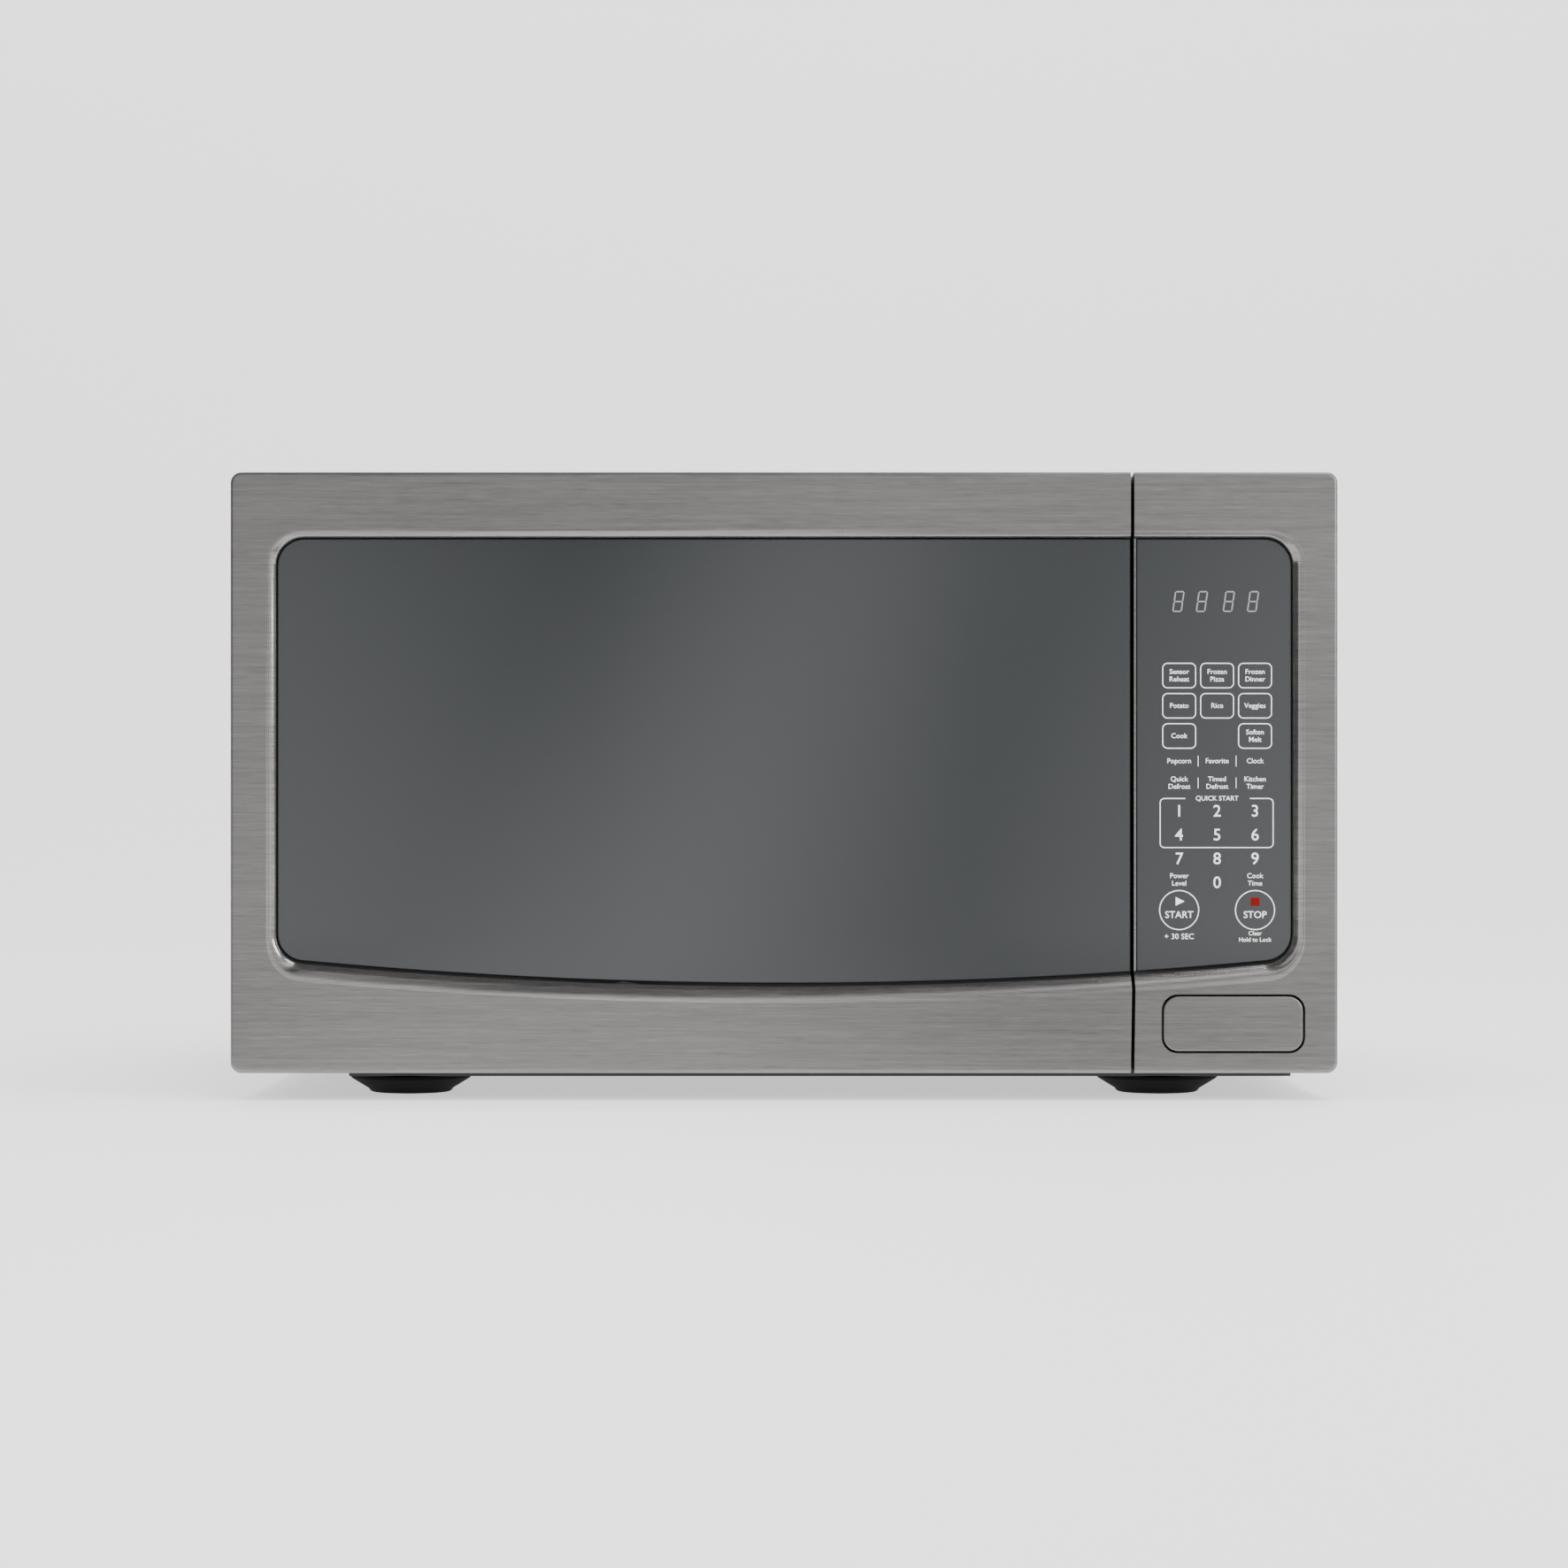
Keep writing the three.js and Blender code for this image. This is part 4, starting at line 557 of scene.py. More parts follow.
def circuit_board(name):
    """Green solder mask: copper tracks show through as slightly lighter stripes, and pads as bright dots."""
    made = Shader(name, roughness=0.38, coat_weight=0.4, coat_roughness=0.15)
    track = made.noise((160, 420, 90), 0, 0.0).step(0.55, 0.03)
    dots = made.node("ShaderNodeTexVoronoi", {"feature": "F1"},
                     {"Vector": made.place((210, 210, 210)), "Scale": 1.0})
    pad = 1 - Value(made, dots.outputs["Distance"]).step(0.16, 0.04)
    board = made.mix(track, (0.010, 0.075, 0.022), (0.022, 0.125, 0.040))
    made.set(base_color=made.mix(pad, board, (0.55, 0.54, 0.50)), metallic=pad * 0.8)
    return made.material


def laminations(name):
    """Varnished core: 0.5 mm laminations as fine stripes across Y, with a copper-brown tone between."""
    made = Shader(name, roughness=0.42, metallic=0.35)
    stripe = (made.axis("Y") * (2 * math.pi / 0.0011)).maths("SINE") * 0.5 + 0.5
    rust = made.noise((60, 60, 60), 3, 0.6).step(0.6, 0.2)
    core = made.mix(stripe, (0.045, 0.040, 0.037), (0.11, 0.10, 0.095))
    made.set(base_color=made.mix(rust * 0.5, core, (0.16, 0.075, 0.035)))
    return made.bump(stripe, 0.3, 0.0002).material


def even(name, base, rough=0.4, glow=0.0, shine=0.5):
    """A thin even coat, such as ink, with a slight change of tone. glow is painted light: an emission that
    lifts it a little in dim light, though the coat is no lamp.
    """
    made = Shader(name, roughness=rough, emission_color=base, emission_strength=glow,
                  specular_ior_level=shine)
    made.set(base_color=made.mix(made.noise((700, 700, 700), 1, 0.5), shade(base, 0.95), shade(base, 1.05)))
    return made.material


FINISH = {}


def make_finishes():
    """Every material of the oven, once."""
    f = settings().finish
    FINISH.update({
        "brushed_steel_front": brushed("brushed_steel_front", tuple(f.steel)),
        # The rim steel is polished (roughness 0.14), and its base colour is the steel's made 1.45 times
        # lighter: a painted highlight.
        "rim_steel_painted_highlight": brushed("polished_rim_steel_painted_highlight", shade(tuple(f.steel), 1.45), "x", 0.14),
        "smoked_glass": smoked_glass("smoked_glass", tuple(f.glass)),
        "painted_cover": paint("painted_cover", tuple(f.paint), 0.46, 0.35),
        "galvanised_steel": zinc("galvanised_steel", tuple(f.zinc)),
        "cavity_enamel": enamel("cavity_enamel", tuple(f.enamel)),
        "clear_glass": clear_glass("clear_glass", (0.66, 0.78, 0.76), 0.26),
        "window_film": clear_glass("window_film", (0.30, 0.31, 0.31), 0.3, 0.08),
        "black_plastic": moulded("black_plastic", tuple(f.black), 0.46),
        "white_plastic": moulded("white_plastic", tuple(f.white), 0.42, 0.1),
        "screen_paint": paint("screen_paint", (0.016, 0.016, 0.017), 0.55, 0.2),
        "foot_rubber": moulded("foot_rubber", (0.004, 0.004, 0.004), 0.7, 0.3, 1100, shine=0.12),
        "circuit_board": circuit_board("circuit_board"),
        "transformer_steel": laminations("transformer_steel"),
        "aluminium_case": brushed("aluminium_case", (0.62, 0.63, 0.64), "y", 0.36),
        "spring_steel": brushed("spring_steel", (0.42, 0.42, 0.43), "z", 0.28),
        "mica": paint("mica", (0.40, 0.36, 0.28), 0.5, 0.4),
        # The white ink glows at 0.22: painted light on printing that is no lamp.
        "ink": even("white_ink", tuple(f.ink), 0.45, 0.22),
        "red_ink": even("red_ink", tuple(f.red), 0.45, shine=0.1),
        "segments": even("display_segments", tuple(f.digits), 0.3),
    })


def smoothing_group():
    """Modifier nodes that shade every face smooth and keep the edges sharper than 35 degrees."""
    group = bpy.data.node_groups.new("smooth_by_angle", "GeometryNodeTree")
    group.interface.new_socket("Geometry", in_out="INPUT", socket_type="NodeSocketGeometry")
    group.interface.new_socket("Geometry", in_out="OUTPUT", socket_type="NodeSocketGeometry")
    made = {name: group.nodes.new(kind) for name, kind in (
        ("start", "NodeGroupInput"), ("smooth", "GeometryNodeSetShadeSmooth"),
        ("angle", "GeometryNodeInputMeshEdgeAngle"),
        ("sharp", "ShaderNodeMath"), ("edges", "GeometryNodeSetShadeSmooth"), ("end", "NodeGroupOutput"))}
    made["sharp"].operation = "GREATER_THAN"
    made["sharp"].inputs[1].default_value = math.radians(35)
    made["edges"].domain = "EDGE"
    made["edges"].inputs["Shade Smooth"].default_value = False
    for start, end in (
        (made["start"].outputs[0], made["smooth"].inputs["Geometry"]),
        (made["smooth"].outputs[0], made["edges"].inputs["Geometry"]),
        (made["angle"].outputs["Unsigned Angle"], made["sharp"].inputs[0]),
        (made["sharp"].outputs[0], made["edges"].inputs["Selection"]),
        (made["edges"].outputs[0], made["end"].inputs[0]),
    ):
        group.links.new(start, end)
    return group


PAINTED = {"base_plate": "painted_cover"}  # frame nodes that take another slot's finish


def finish_frame_node(node, edge=0.25 * MM):
    """A frame node that stays: its slot's finish, its doubles welded, its edges broken by a small bevel."""
    piece = frame["nodes"][node]
    rows = {row["node"]: row["material_slot"] for row in frame["record"]["subparts"]}
    piece.data.materials.clear()
    finish = PAINTED.get(node, rows[node])
    piece.data.materials.append(FINISH[finish])
    piece.modifiers.new("weld", "WELD").merge_threshold = 1e-6
    group = bpy.data.node_groups.get("smooth_by_angle") or smoothing_group()
    piece.modifiers.new("smooth", "NODES").node_group = group
    if edge:
        bevel = piece.modifiers.new("edge", "BEVEL")
        bevel.width, bevel.segments, bevel.limit_method = edge, 2, "ANGLE"
        bevel.angle_limit = math.radians(40)
        bevel.use_clamp_overlap = True
        bevel.harden_normals = False
    normals = piece.modifiers.new("normals", "WEIGHTED_NORMAL")
    normals.keep_sharp = True


# ---------------------------------------------------------------- outlines of the front
OUTLINE_STEPS = (14, 9, 8, 9, 44)  # points along the top, a corner, the side, a corner and the bottom


def across(normal, left, right, top, bottom):
    """A size that changes smoothly round an outline: each side's own size, weighed by the square of the
    outward normal's part towards that side."""
    x, z = normal[:, 0], normal[:, 1]
    across_x = left * np.minimum(x, 0) ** 2 + right * np.maximum(x, 0) ** 2
    return (across_x + top * np.maximum(z, 0) ** 2 + bottom * np.minimum(z, 0) ** 2)[:, None]


def run(start, end, count, normal):
    """Points on a straight line and their one normal."""
    return np.linspace(start, end, count), np.broadcast_to(np.asarray(normal, float), (count, 2))


def bend(centre, radius, start, end, count):
    """Points on an arc and their normals, which point away from its centre."""
    points = arc(centre, radius, start, end, count)
    return points, (points - centre) / radius


def chain(parts):
    """Parts joined into one outline; each part's first point repeats the last one, and is dropped."""
    points = np.concatenate([parts[0][0]] + [part[0][1:] for part in parts[1:]])
    normals = np.concatenate([parts[0][1]] + [part[1][1:] for part in parts[1:]])
    return points, normals


def recess_path(seam, side, inset=0.0, radius=None):
    """Points and outward normals of the recess's edge: from the seam along the top, down one side (-1 is the
    left and 1 the right) and back along the curved bottom, which is a circle centred high above."""
    radius = (radius or settings().front.recess_corner) - inset
    top_z, low_z, big = RECESS_TOP - inset, RECESS_LOW + inset, sweep_radius() - inset
    edge = RECESS_LEFT + inset if side < 0 else RECESS_RIGHT - inset
    x = edge - side * radius
    centre_z = low_z + big
    z = centre_z - math.sqrt((big - radius) ** 2 - x * x)
    start = 180 if side < 0 else 0
    end = math.degrees(math.atan2(z - centre_z, x)) % 360 - (360 if side > 0 else 0)
    n = OUTLINE_STEPS
    sweep_x = np.linspace(x * big / (big - radius), seam, n[4])
    sweep_z = centre_z - np.sqrt(big ** 2 - sweep_x ** 2)
    bottom = np.stack([sweep_x, sweep_z], -1)
    return chain([
        run((seam, top_z), (x, top_z), n[0], (0, 1)),
        bend((x, top_z - radius), radius, 90, start, n[1]),
        run((edge, top_z - radius), (edge, z), n[2], (side, 0)),
        bend((x, z), radius, start, end, n[3]),
        (bottom, (bottom - (0, centre_z)) / big),
    ])


def outer_path(seam, side):
    """Points and outward normals of the front's outer edge, matched to recess_path's one by one."""
    radius = settings().front.corner
    edge = LEFT if side < 0 else RIGHT
    x = edge - side * radius
    start, end = (180, 270) if side < 0 else (0, -90)
    n = OUTLINE_STEPS
    return chain([
        run((seam, TOP), (x, TOP), n[0], (0, 1)),
        bend((x, TOP - radius), radius, 90, start, n[1]),
        run((edge, TOP - radius), (edge, BOTTOM + radius), n[2], (side, 0)),
        bend((x, BOTTOM + radius), radius, start, end, n[3]),
        run((x, BOTTOM), (seam, BOTTOM), n[4], (0, -1)),
    ])


# ---------------------------------------------------------------- the steel front
def skin_surface(seam, side):
    """Steel skin as a C: each cross-section starts at the glass's level, rises as a quarter ellipse to the
    front face, turns the outer edge on a small arc, runs back along the side and returns underneath, one
    sheet thickness further in."""
    f = settings().front
    inner, into = recess_path(seam, side)
    outer, out = outer_path(seam, side)
    rim = across(into, f.rim_left, f.rim_right, f.rim_top, f.rim_bottom)
    start = inner + into * across(into, GLASS_GAP, GLASS_GAP, GLASS_GAP, f.seam_low)
    depth = GLASS_FRONT - FRONT
    lip, land = start + into * rim, outer - out * f.edge
    rows = [(start, GLASS_FRONT + f.skin)]
    for a in np.radians(np.linspace(0, 90, 9)):
        rows.append((start + into * rim * (1 - math.cos(a)), FRONT + depth * (1 - math.sin(a))))
    rows += [(lip + (land - lip) * share, FRONT) for share in (0.03, 0.35, 0.65, 0.97)]
    for a in np.radians(np.linspace(90, 0, 6)):
        rows.append((outer - out * f.edge * (1 - math.cos(a)), FRONT + f.edge * (1 - math.sin(a))))
    rows += [(outer, FRONT + f.wrap), (outer - out * f.skin, FRONT + f.wrap)]
    rows += [(outer - out * f.skin, FRONT + f.edge), (outer - out * f.edge * 1.1, FRONT + f.skin)]
    for a in np.radians(np.linspace(90, 0, 6)):
        under = start + into * (rim * (1 - math.cos(a)) + f.skin * math.cos(a))
        rows.append((under, FRONT + depth * (1 - math.sin(a)) + f.skin * math.sin(a)))
    rows.append((start + into * f.skin, GLASS_FRONT + f.skin))
    return Surface().sweep(np.stack([facing(points, y) for points, y in rows], 1)), len(rows)


def polish_rim(piece, row_length):
    """Gives the rolled rim its smoother finish, with a lighter copy of the steel as a painted highlight: the
    first ten strips of each row of faces.
    """
    count = len(piece.data.polygons)
    strip = np.arange(count) % row_length
    swept = np.arange(count) < (sum(OUTLINE_STEPS) - len(OUTLINE_STEPS)) * row_length
    piece.data.materials.append(FINISH["rim_steel_painted_highlight"])
    piece.data.polygons.foreach_set("material_index", np.where((strip < 10) & swept, 1, 0))


def merged_copy(node):
    """A frame node's mesh with its doubles merged, to be shaped further."""
    mesh = frame["nodes"][node].data.copy()
    work = bmesh.new()
    work.from_mesh(mesh)
    bmesh.ops.remove_doubles(work, verts=work.verts, dist=1e-6)
    bmesh.ops.recalc_face_normals(work, faces=work.faces)
    work.to_mesh(mesh)
    work.free()
    return mesh


def ramp(distance, reach):
    """1 at a surface and 0 at a reach from it or further."""
    return np.clip(1 - distance / reach, 0, 1)


def tucked_body(node):
    """The plastic body behind a steel skin: a frame node's mesh, drawn in from the outer faces by a share
    that fades over 10 mm, with the front corners of its recess sunk behind the rim."""
    f, mesh = settings().front, merged_copy(node)
    places = coords(mesh)
    x, y, z = places.T.copy()
    at_front = y < FRONT + 1e-5
    on_recess = (x > RECESS_LEFT - MM) & (x < RECESS_RIGHT + MM)
    on_recess &= (z > RECESS_LOW - MM) & (z < RECESS_TOP + MM)
    reach = 10 * MM
    places[:, 0] += f.tuck * (ramp(x - LEFT, reach) - ramp(RIGHT - x, reach))
    places[:, 2] += f.tuck * (ramp(z - BOTTOM, reach) - ramp(TOP - z, reach))
    places[:, 1] += f.tuck * ramp(y - FRONT, 3 * MM)
    places[at_front & on_recess, 1] = GLASS_FRONT + f.skin + 0.3 * MM
    mesh.vertices.foreach_set("co", places.ravel())
    mesh.update()
    return mesh


def cut_away(piece, cutter_surface):
    """A shape taken out of a piece for good: the cutter itself is removed."""
    mesh = bpy.data.meshes.new("cutter")
    mesh.from_pydata(np.concatenate(cutter_surface.places).tolist(), [], cutter_surface.faces)
    cutter_surface.turn_out(mesh)
    cutter = bpy.data.objects.new("cutter", mesh)
    bpy.context.scene.collection.objects.link(cutter)
    boolean = piece.modifiers.new("cut", "BOOLEAN")
    boolean.operation, boolean.object, boolean.solver = "DIFFERENCE", cutter, "EXACT"
    bpy.context.view_layer.update()
    cut = bpy.data.meshes.new_from_object(piece.evaluated_get(bpy.context.evaluated_depsgraph_get()))
    piece.modifiers.clear()
    piece.data = cut
    bpy.data.objects.remove(cutter)
    cut.shade_smooth()
    cut.set_sharp_from_angle(angle=math.radians(35))


def button_face():
    """Left, right, low and high edges of the release button's cap, inside its retaining flange."""
    flange = 1.5 * MM
    lo, hi = low("release_button"), high("release_button")
    return lo.x + flange, hi.x - flange, lo.z + flange, hi.z - flange


def button_outline(grow):
    """The cap's rounded outline, larger by grow."""
    x0, x1, z0, z1 = button_face()
    return rounded_outline(x0 - grow, x1 + grow, z0 - grow, z1 + grow, settings().front.button_corner + grow)


def build_door_front():
    """Steel skin of the door, and the black body behind it that the glass lies in."""
    skin, row_length = skin_surface(DOOR_RIGHT, -1)
    skin = skin.piece("door_skin", "door", "brushed_steel_front", FINISH["brushed_steel_front"])
    polish_rim(skin, row_length)
    place("door_body", tucked_body("door_bezel"), "door", FINISH["black_plastic"],
          ["door_bezel"])


def build_fascia_front():
    """Steel skin of the fascia with its button hole, its edge by the keypad in the lighter rim steel (a
    painted highlight), and the black body.
    """
    steel = FINISH["brushed_steel_front"]
    skin, row_length = skin_surface(FASCIA_LEFT, 1)
    skin = skin.piece("fascia_skin", "cabinet", "brushed_steel_front", steel)
    polish_rim(skin, row_length)
    hole = button_outline(settings().front.button_gap)
    cut_away(skin, Surface().sweep([facing(hole, y) for y in (FRONT - MM, FRONT + 4 * MM)]))
    body = place("fascia_body", tucked_body("control_fascia"), "cabinet",
                 FINISH["black_plastic"], ["control_fascia"])
    edge_z = low("keypad_panel").z, RECESS_TOP
    edge_x = FASCIA_LEFT, low("keypad_panel").x - GLASS_GAP
    cut_away(body, Surface().sweep(box_surface(
        (edge_x[0] - MM, FRONT - MM, edge_z[0]), (edge_x[1] + 0.1 * MM, GLASS_FRONT + 0.5 * MM, edge_z[1]))))
    # The keypad edge takes the rim steel, whose lighter base colour is a painted highlight.
    Surface().sweep(box_surface(
        (edge_x[0], GLASS_FRONT - 0.2 * MM, edge_z[0]),
        (edge_x[1], GLASS_FRONT + 0.45 * MM, edge_z[1]), 0.15 * MM,
    )).piece("keypad_edge", "cabinet", "brushed_steel_front", FINISH["rim_steel_painted_highlight"])


def slab(outline_at, front, back, edge):
    """A flat slab with ground edges. outline_at gives its closed outline at an inset."""
    loops = [(edge, front), (0.0, front + edge), (0.0, back - edge), (edge, back)]
    return Surface().sweep([facing(outline_at(inset), y) for inset, y in loops])


def glass_outline(x_seam, side):
    """The glass's closed outline at an inset, square at the seam."""
    def outline(inset):
        seam = x_seam + side * inset
        return recess_path(seam, side, inset + GLASS_GAP)[0]
    return outline


def build_glass():
    """Door glass and keypad glass, flush with each other across the seam."""
    for node, body, side in (("door_glass", "door", -1), ("keypad_panel", "cabinet", 1)):
        seam = high(node).x if side < 0 else low(node).x
        glass = slab(glass_outline(seam, side), GLASS_FRONT, GLASS_BACK, settings().front.glass_edge)
        glass.piece(node + "_slab", body, "smoked_glass", FINISH["smoked_glass"], [node], 12)


def build_release_button():
    """Brushed cap of the door release, on the frame's own body and nose, drawn in behind it."""
    x0, x1, z0, z1 = button_face()
    edge = 0.9 * MM
    turn = np.radians(np.linspace(0, 90, 5))
    bend = [(-edge * (1 - math.sin(a)), FRONT + edge * (1 - math.cos(a))) for a in turn]
    rows = [(-2 * edge, FRONT)] + bend
    rows += [(0.0, FRONT + 5 * MM)]
    cap = Surface().sweep([facing(button_outline(grow), y) for grow, y in rows])
    cap.piece("button_cap", "release_button", "brushed_steel_front", FINISH["brushed_steel_front"])
    mesh = merged_copy("release_button")
    places = coords(mesh)
    on_cap = places[:, 1] < FRONT + 5.2 * MM
    places[on_cap, 0] = np.clip(places[on_cap, 0], x0 + 2.6 * MM, x1 - 2.6 * MM)
    places[on_cap, 2] = np.clip(places[on_cap, 2], z0 + 2.6 * MM, z1 - 2.6 * MM)
    places[on_cap, 1] = np.maximum(places[on_cap, 1], FRONT + 5.2 * MM)
    mesh.vertices.foreach_set("co", places.ravel())
    mesh.update()
    place("button_body", mesh, "release_button", FINISH["black_plastic"],
          ["release_button"])


# ---------------------------------------------------------------- printing on the keypad
def lettering(text, size, thick=0.0):
    """Text as arrays of places and faces, centred on the origin, its capitals size high. thick makes the
    strokes heavier."""
    curve = bpy.data.curves.new("text", "FONT")
    curve.body, curve.align_x, curve.align_y = text, "CENTER", "CENTER"
    curve.size = size / 0.73  # the built-in font's capitals are 0.73 of its size high
    curve.space_line, curve.resolution_u, curve.offset = 1.05, 3, thick
    holder = bpy.data.objects.new("text", curve)
    mesh = bpy.data.meshes.new_from_object(holder)
    places, faces = coords(mesh), [tuple(face.vertices) for face in mesh.polygons]
    bpy.data.objects.remove(holder)
    bpy.data.meshes.remove(mesh)
    return places, faces


class Print:
    """Flat printing on the keypad glass, gathered as one mesh."""

    def __init__(self):
        self.surface = Surface()
        self.y = GLASS_FRONT - settings().keypad.ink

    def text(self, words, x, z, size, thick=0.0):
        """Words centred at (x, z)."""
        places, faces = lettering(words, size, thick)
        points = places[:, :2] + (x, z)
        self.surface.add(facing(points, self.y), faces)

    def ring(self, outside, inside, closed=True):
        """A flat band between two outlines with the same number of points."""
        both = np.stack([outside, inside], 1)
        self.surface.add(facing(both, self.y), [tuple(q) for q in grid_quads(len(both), 2, closed)])

    def frame(self, x0, x1, z0, z1, radius, line):
        """A rounded rectangle drawn with a line of even width."""
        self.ring(rounded_outline(x0, x1, z0, z1, radius),
                  rounded_outline(x0 + line, x1 - line, z0 + line, z1 - line, radius - line))

    def disc(self, x, z, radius, line):
        """A circle drawn with a line."""
        self.ring(arc((x, z), radius, 0, 360, 65)[:-1], arc((x, z), radius - line, 0, 360, 65)[:-1])

    def shape(self, points):
        """A filled outline."""
        self.surface.add(facing(np.asarray(points), self.y), [tuple(range(len(points)))])

    def bar(self, x, z, width, height):
        """A filled upright bar."""
        w, h = width / 2, height / 2
        self.shape([(x - w, z - h), (x + w, z - h), (x + w, z + h), (x - w, z + h)])

    def piece(self, name, material):
        """The printing as a piece that faces the front."""
        mesh = bpy.data.meshes.new(name)
        mesh.from_pydata(np.concatenate(self.surface.places).tolist(), [], self.surface.faces)
        backward = [face.index for face in mesh.polygons if face.normal.y > 0]
        for index in backward:
            mesh.polygons[index].flip()
        return place(name, mesh, "cabinet", material)


def keypad_columns():
    """Centres of the keypad's three columns."""
    middle = (low("keypad_panel").x + high("keypad_panel").x) / 2 + 1.7 * MM
    pitch = settings().keypad.pitch
    return middle - pitch, middle, middle + pitch


def print_keys(ink):
    """Outlined keys in three rows, with none in the middle of the last."""
    k = settings().keypad
    rows = (("Sensor\nReheat", "Frozen\nPizza", "Frozen\nDinner"), ("Potato", "Rice", "Veggies"),
            ("Cook", None, "Soften\nMelt"))
    for row, words in enumerate(rows):
        z = TOP - k.keys_drop - row * k.row_pitch
        for x, word in zip(keypad_columns(), words):
            if word:
                w, h = k.key_width / 2, k.key_height / 2
                ink.frame(x - w, x + w, z - h, z + h, k.key_corner, k.line)
                ink.text(word, x, z, k.caption, k.bold)


def print_captions(ink):
    """Two rows of captions with upright bars between, and the captions by the last number."""
    k = settings().keypad
    left, middle, right = keypad_columns()
    rows = ((TOP - 158.6 * MM, ("Popcorn", "Favorite", "Clock")),
            (TOP - 170.6 * MM, ("Quick\nDefrost", "Timed\nDefrost", "Kitchen\nTimer")))
    for z, words in rows:
        for x, word in zip((left, middle, right), words):
            ink.text(word, x, z, k.caption, k.bold)
        for x in ((left + middle) / 2, (middle + right) / 2):
            ink.bar(x, z, 0.7 * k.line, 5.8 * MM)
    ink.text("Power\nLevel", left, TOP - 223.8 * MM, k.caption, k.bold)
    ink.text("Cook\nTime", right, TOP - 223.8 * MM, k.caption, k.bold)


def print_numbers(ink):
    """Numbers 1 to 9 and 0, the first six in a rounded box whose top line stops for a caption."""
    k = settings().keypad
    columns = keypad_columns()
    first = TOP - k.numbers_drop
    for number in range(1, 10):
        row, column = divmod(number - 1, 3)
        ink.text(str(number), columns[column], first - row * k.number_pitch, k.digit, 2 * k.bold)
    ink.text("0", columns[1], first - 3 * k.number_pitch, k.digit, 2 * k.bold)
    x0, x1 = columns[0] - 10.7 * MM, columns[2] + 10.2 * MM
    z0, z1 = first - k.number_pitch - 7 * MM, first + 7.4 * MM
    outside = rounded_outline(x0, x1, z0, z1, 2.6 * MM)
    inside = rounded_outline(x0 + k.line, x1 - k.line, z0 + k.line, z1 - k.line, 2.6 * MM - k.line)
    gap = columns[1] - 17.5 * MM, columns[1] + 18 * MM
    half = len(outside) // 4
    loop, core = (np.concatenate([line[half:], line[:half]]) for line in (outside, inside))
    ends = [(gap[0], z1), (gap[1], z1)], [(gap[0], z1 - k.line), (gap[1], z1 - k.line)]
    outer = np.concatenate([ends[0][:1], loop, ends[0][1:]])
    inner = np.concatenate([ends[1][:1], core, ends[1][1:]])
    ink.ring(outer, inner, False)
    ink.text("QUICK START", columns[1], z1 - k.line / 2, k.caption * 0.95, k.bold)


def print_pads(ink, red):
    """Start and stop pads: a circle each, with a triangle, a square and their words."""
    k = settings().keypad
    left, _, right = keypad_columns()
    z = TOP - k.pads_drop
    size = 2.4 * MM
    for x, word, caption in ((left, "START", "+ 30 SEC"), (right, "STOP", "Clear\nHold to Lock")):
        ink.disc(x, z, k.pad_radius, k.line)
        ink.text(word, x, z - 2.7 * MM, 3.9 * MM, 1.6 * k.bold)
        ink.text(caption, x, z - k.pad_radius - 3.6 * MM, k.caption * (1.1 if x == left else 0.85), k.bold)
    ink.shape([(left - size * 0.8, z + 4.8 * MM - size), (left + size * 1.2, z + 4.8 * MM),
               (left - size * 0.8, z + 4.8 * MM + size)])
    red.bar(right, z + 4.6 * MM, 2 * size, 1.9 * size)


def print_display(segments):
    """Four unlit seven-segment digits, slanted by 8 degrees: each segment is a bar with pointed ends."""
    k = settings().keypad
    middle = (low("display_module").x + high("display_module").x) / 2 + 0.3 * MM
    z = (low("display_module").z + high("display_module").z) / 2 + 0.6 * MM
    w, h, line = 4.6 * MM, 5.4 * MM, k.segment
    bars = [((-w / 2, level), (w / 2, level)) for level in (-h, 0, h)]
    bars += [((side * w / 2, level), (side * w / 2, level + h)) for side in (-1, 1) for level in (-h, 0)]
    for x in (middle - 20.8 * MM, middle - 7.9 * MM, middle + 6.9 * MM, middle + 20.2 * MM):
        for a, b in bars:
            a, b = np.array(a), np.array(b)
            along = (b - a) / np.linalg.norm(b - a)
            side = np.array([-along[1], along[0]]) * line / 2
            a, b = a + along * line * 0.2, b - along * line * 0.2
            tips = [a, a + along * line / 2 + side, b - along * line / 2 + side, b,
                    b - along * line / 2 - side, a + along * line / 2 - side]
            segments.shape([(x + p[0] + math.tan(math.radians(8)) * p[1], z + p[1]) for p in tips])


def build_printing():
    """Everything printed on the keypad glass."""
    ink, red, segments = Print(), Print(), Print()
    print_keys(ink)
    print_captions(ink)
    print_numbers(ink)
    print_pads(ink, red)
    print_display(segments)
    ink.piece("keypad_ink", FINISH["ink"])
    red.piece("keypad_red_ink", FINISH["red_ink"])
    segments.piece("display_segments", FINISH["segments"])


# ---------------------------------------------------------------- cabinet
def turned_round(places, centre, degrees):
    """Places turned about the upright axis through centre."""
    a = math.radians(degrees)
    spin = np.array([[math.cos(a), math.sin(a), 0], [-math.sin(a), math.cos(a), 0], [0, 0, 1]])
    return (np.asarray(places) - centre) @ spin + centre


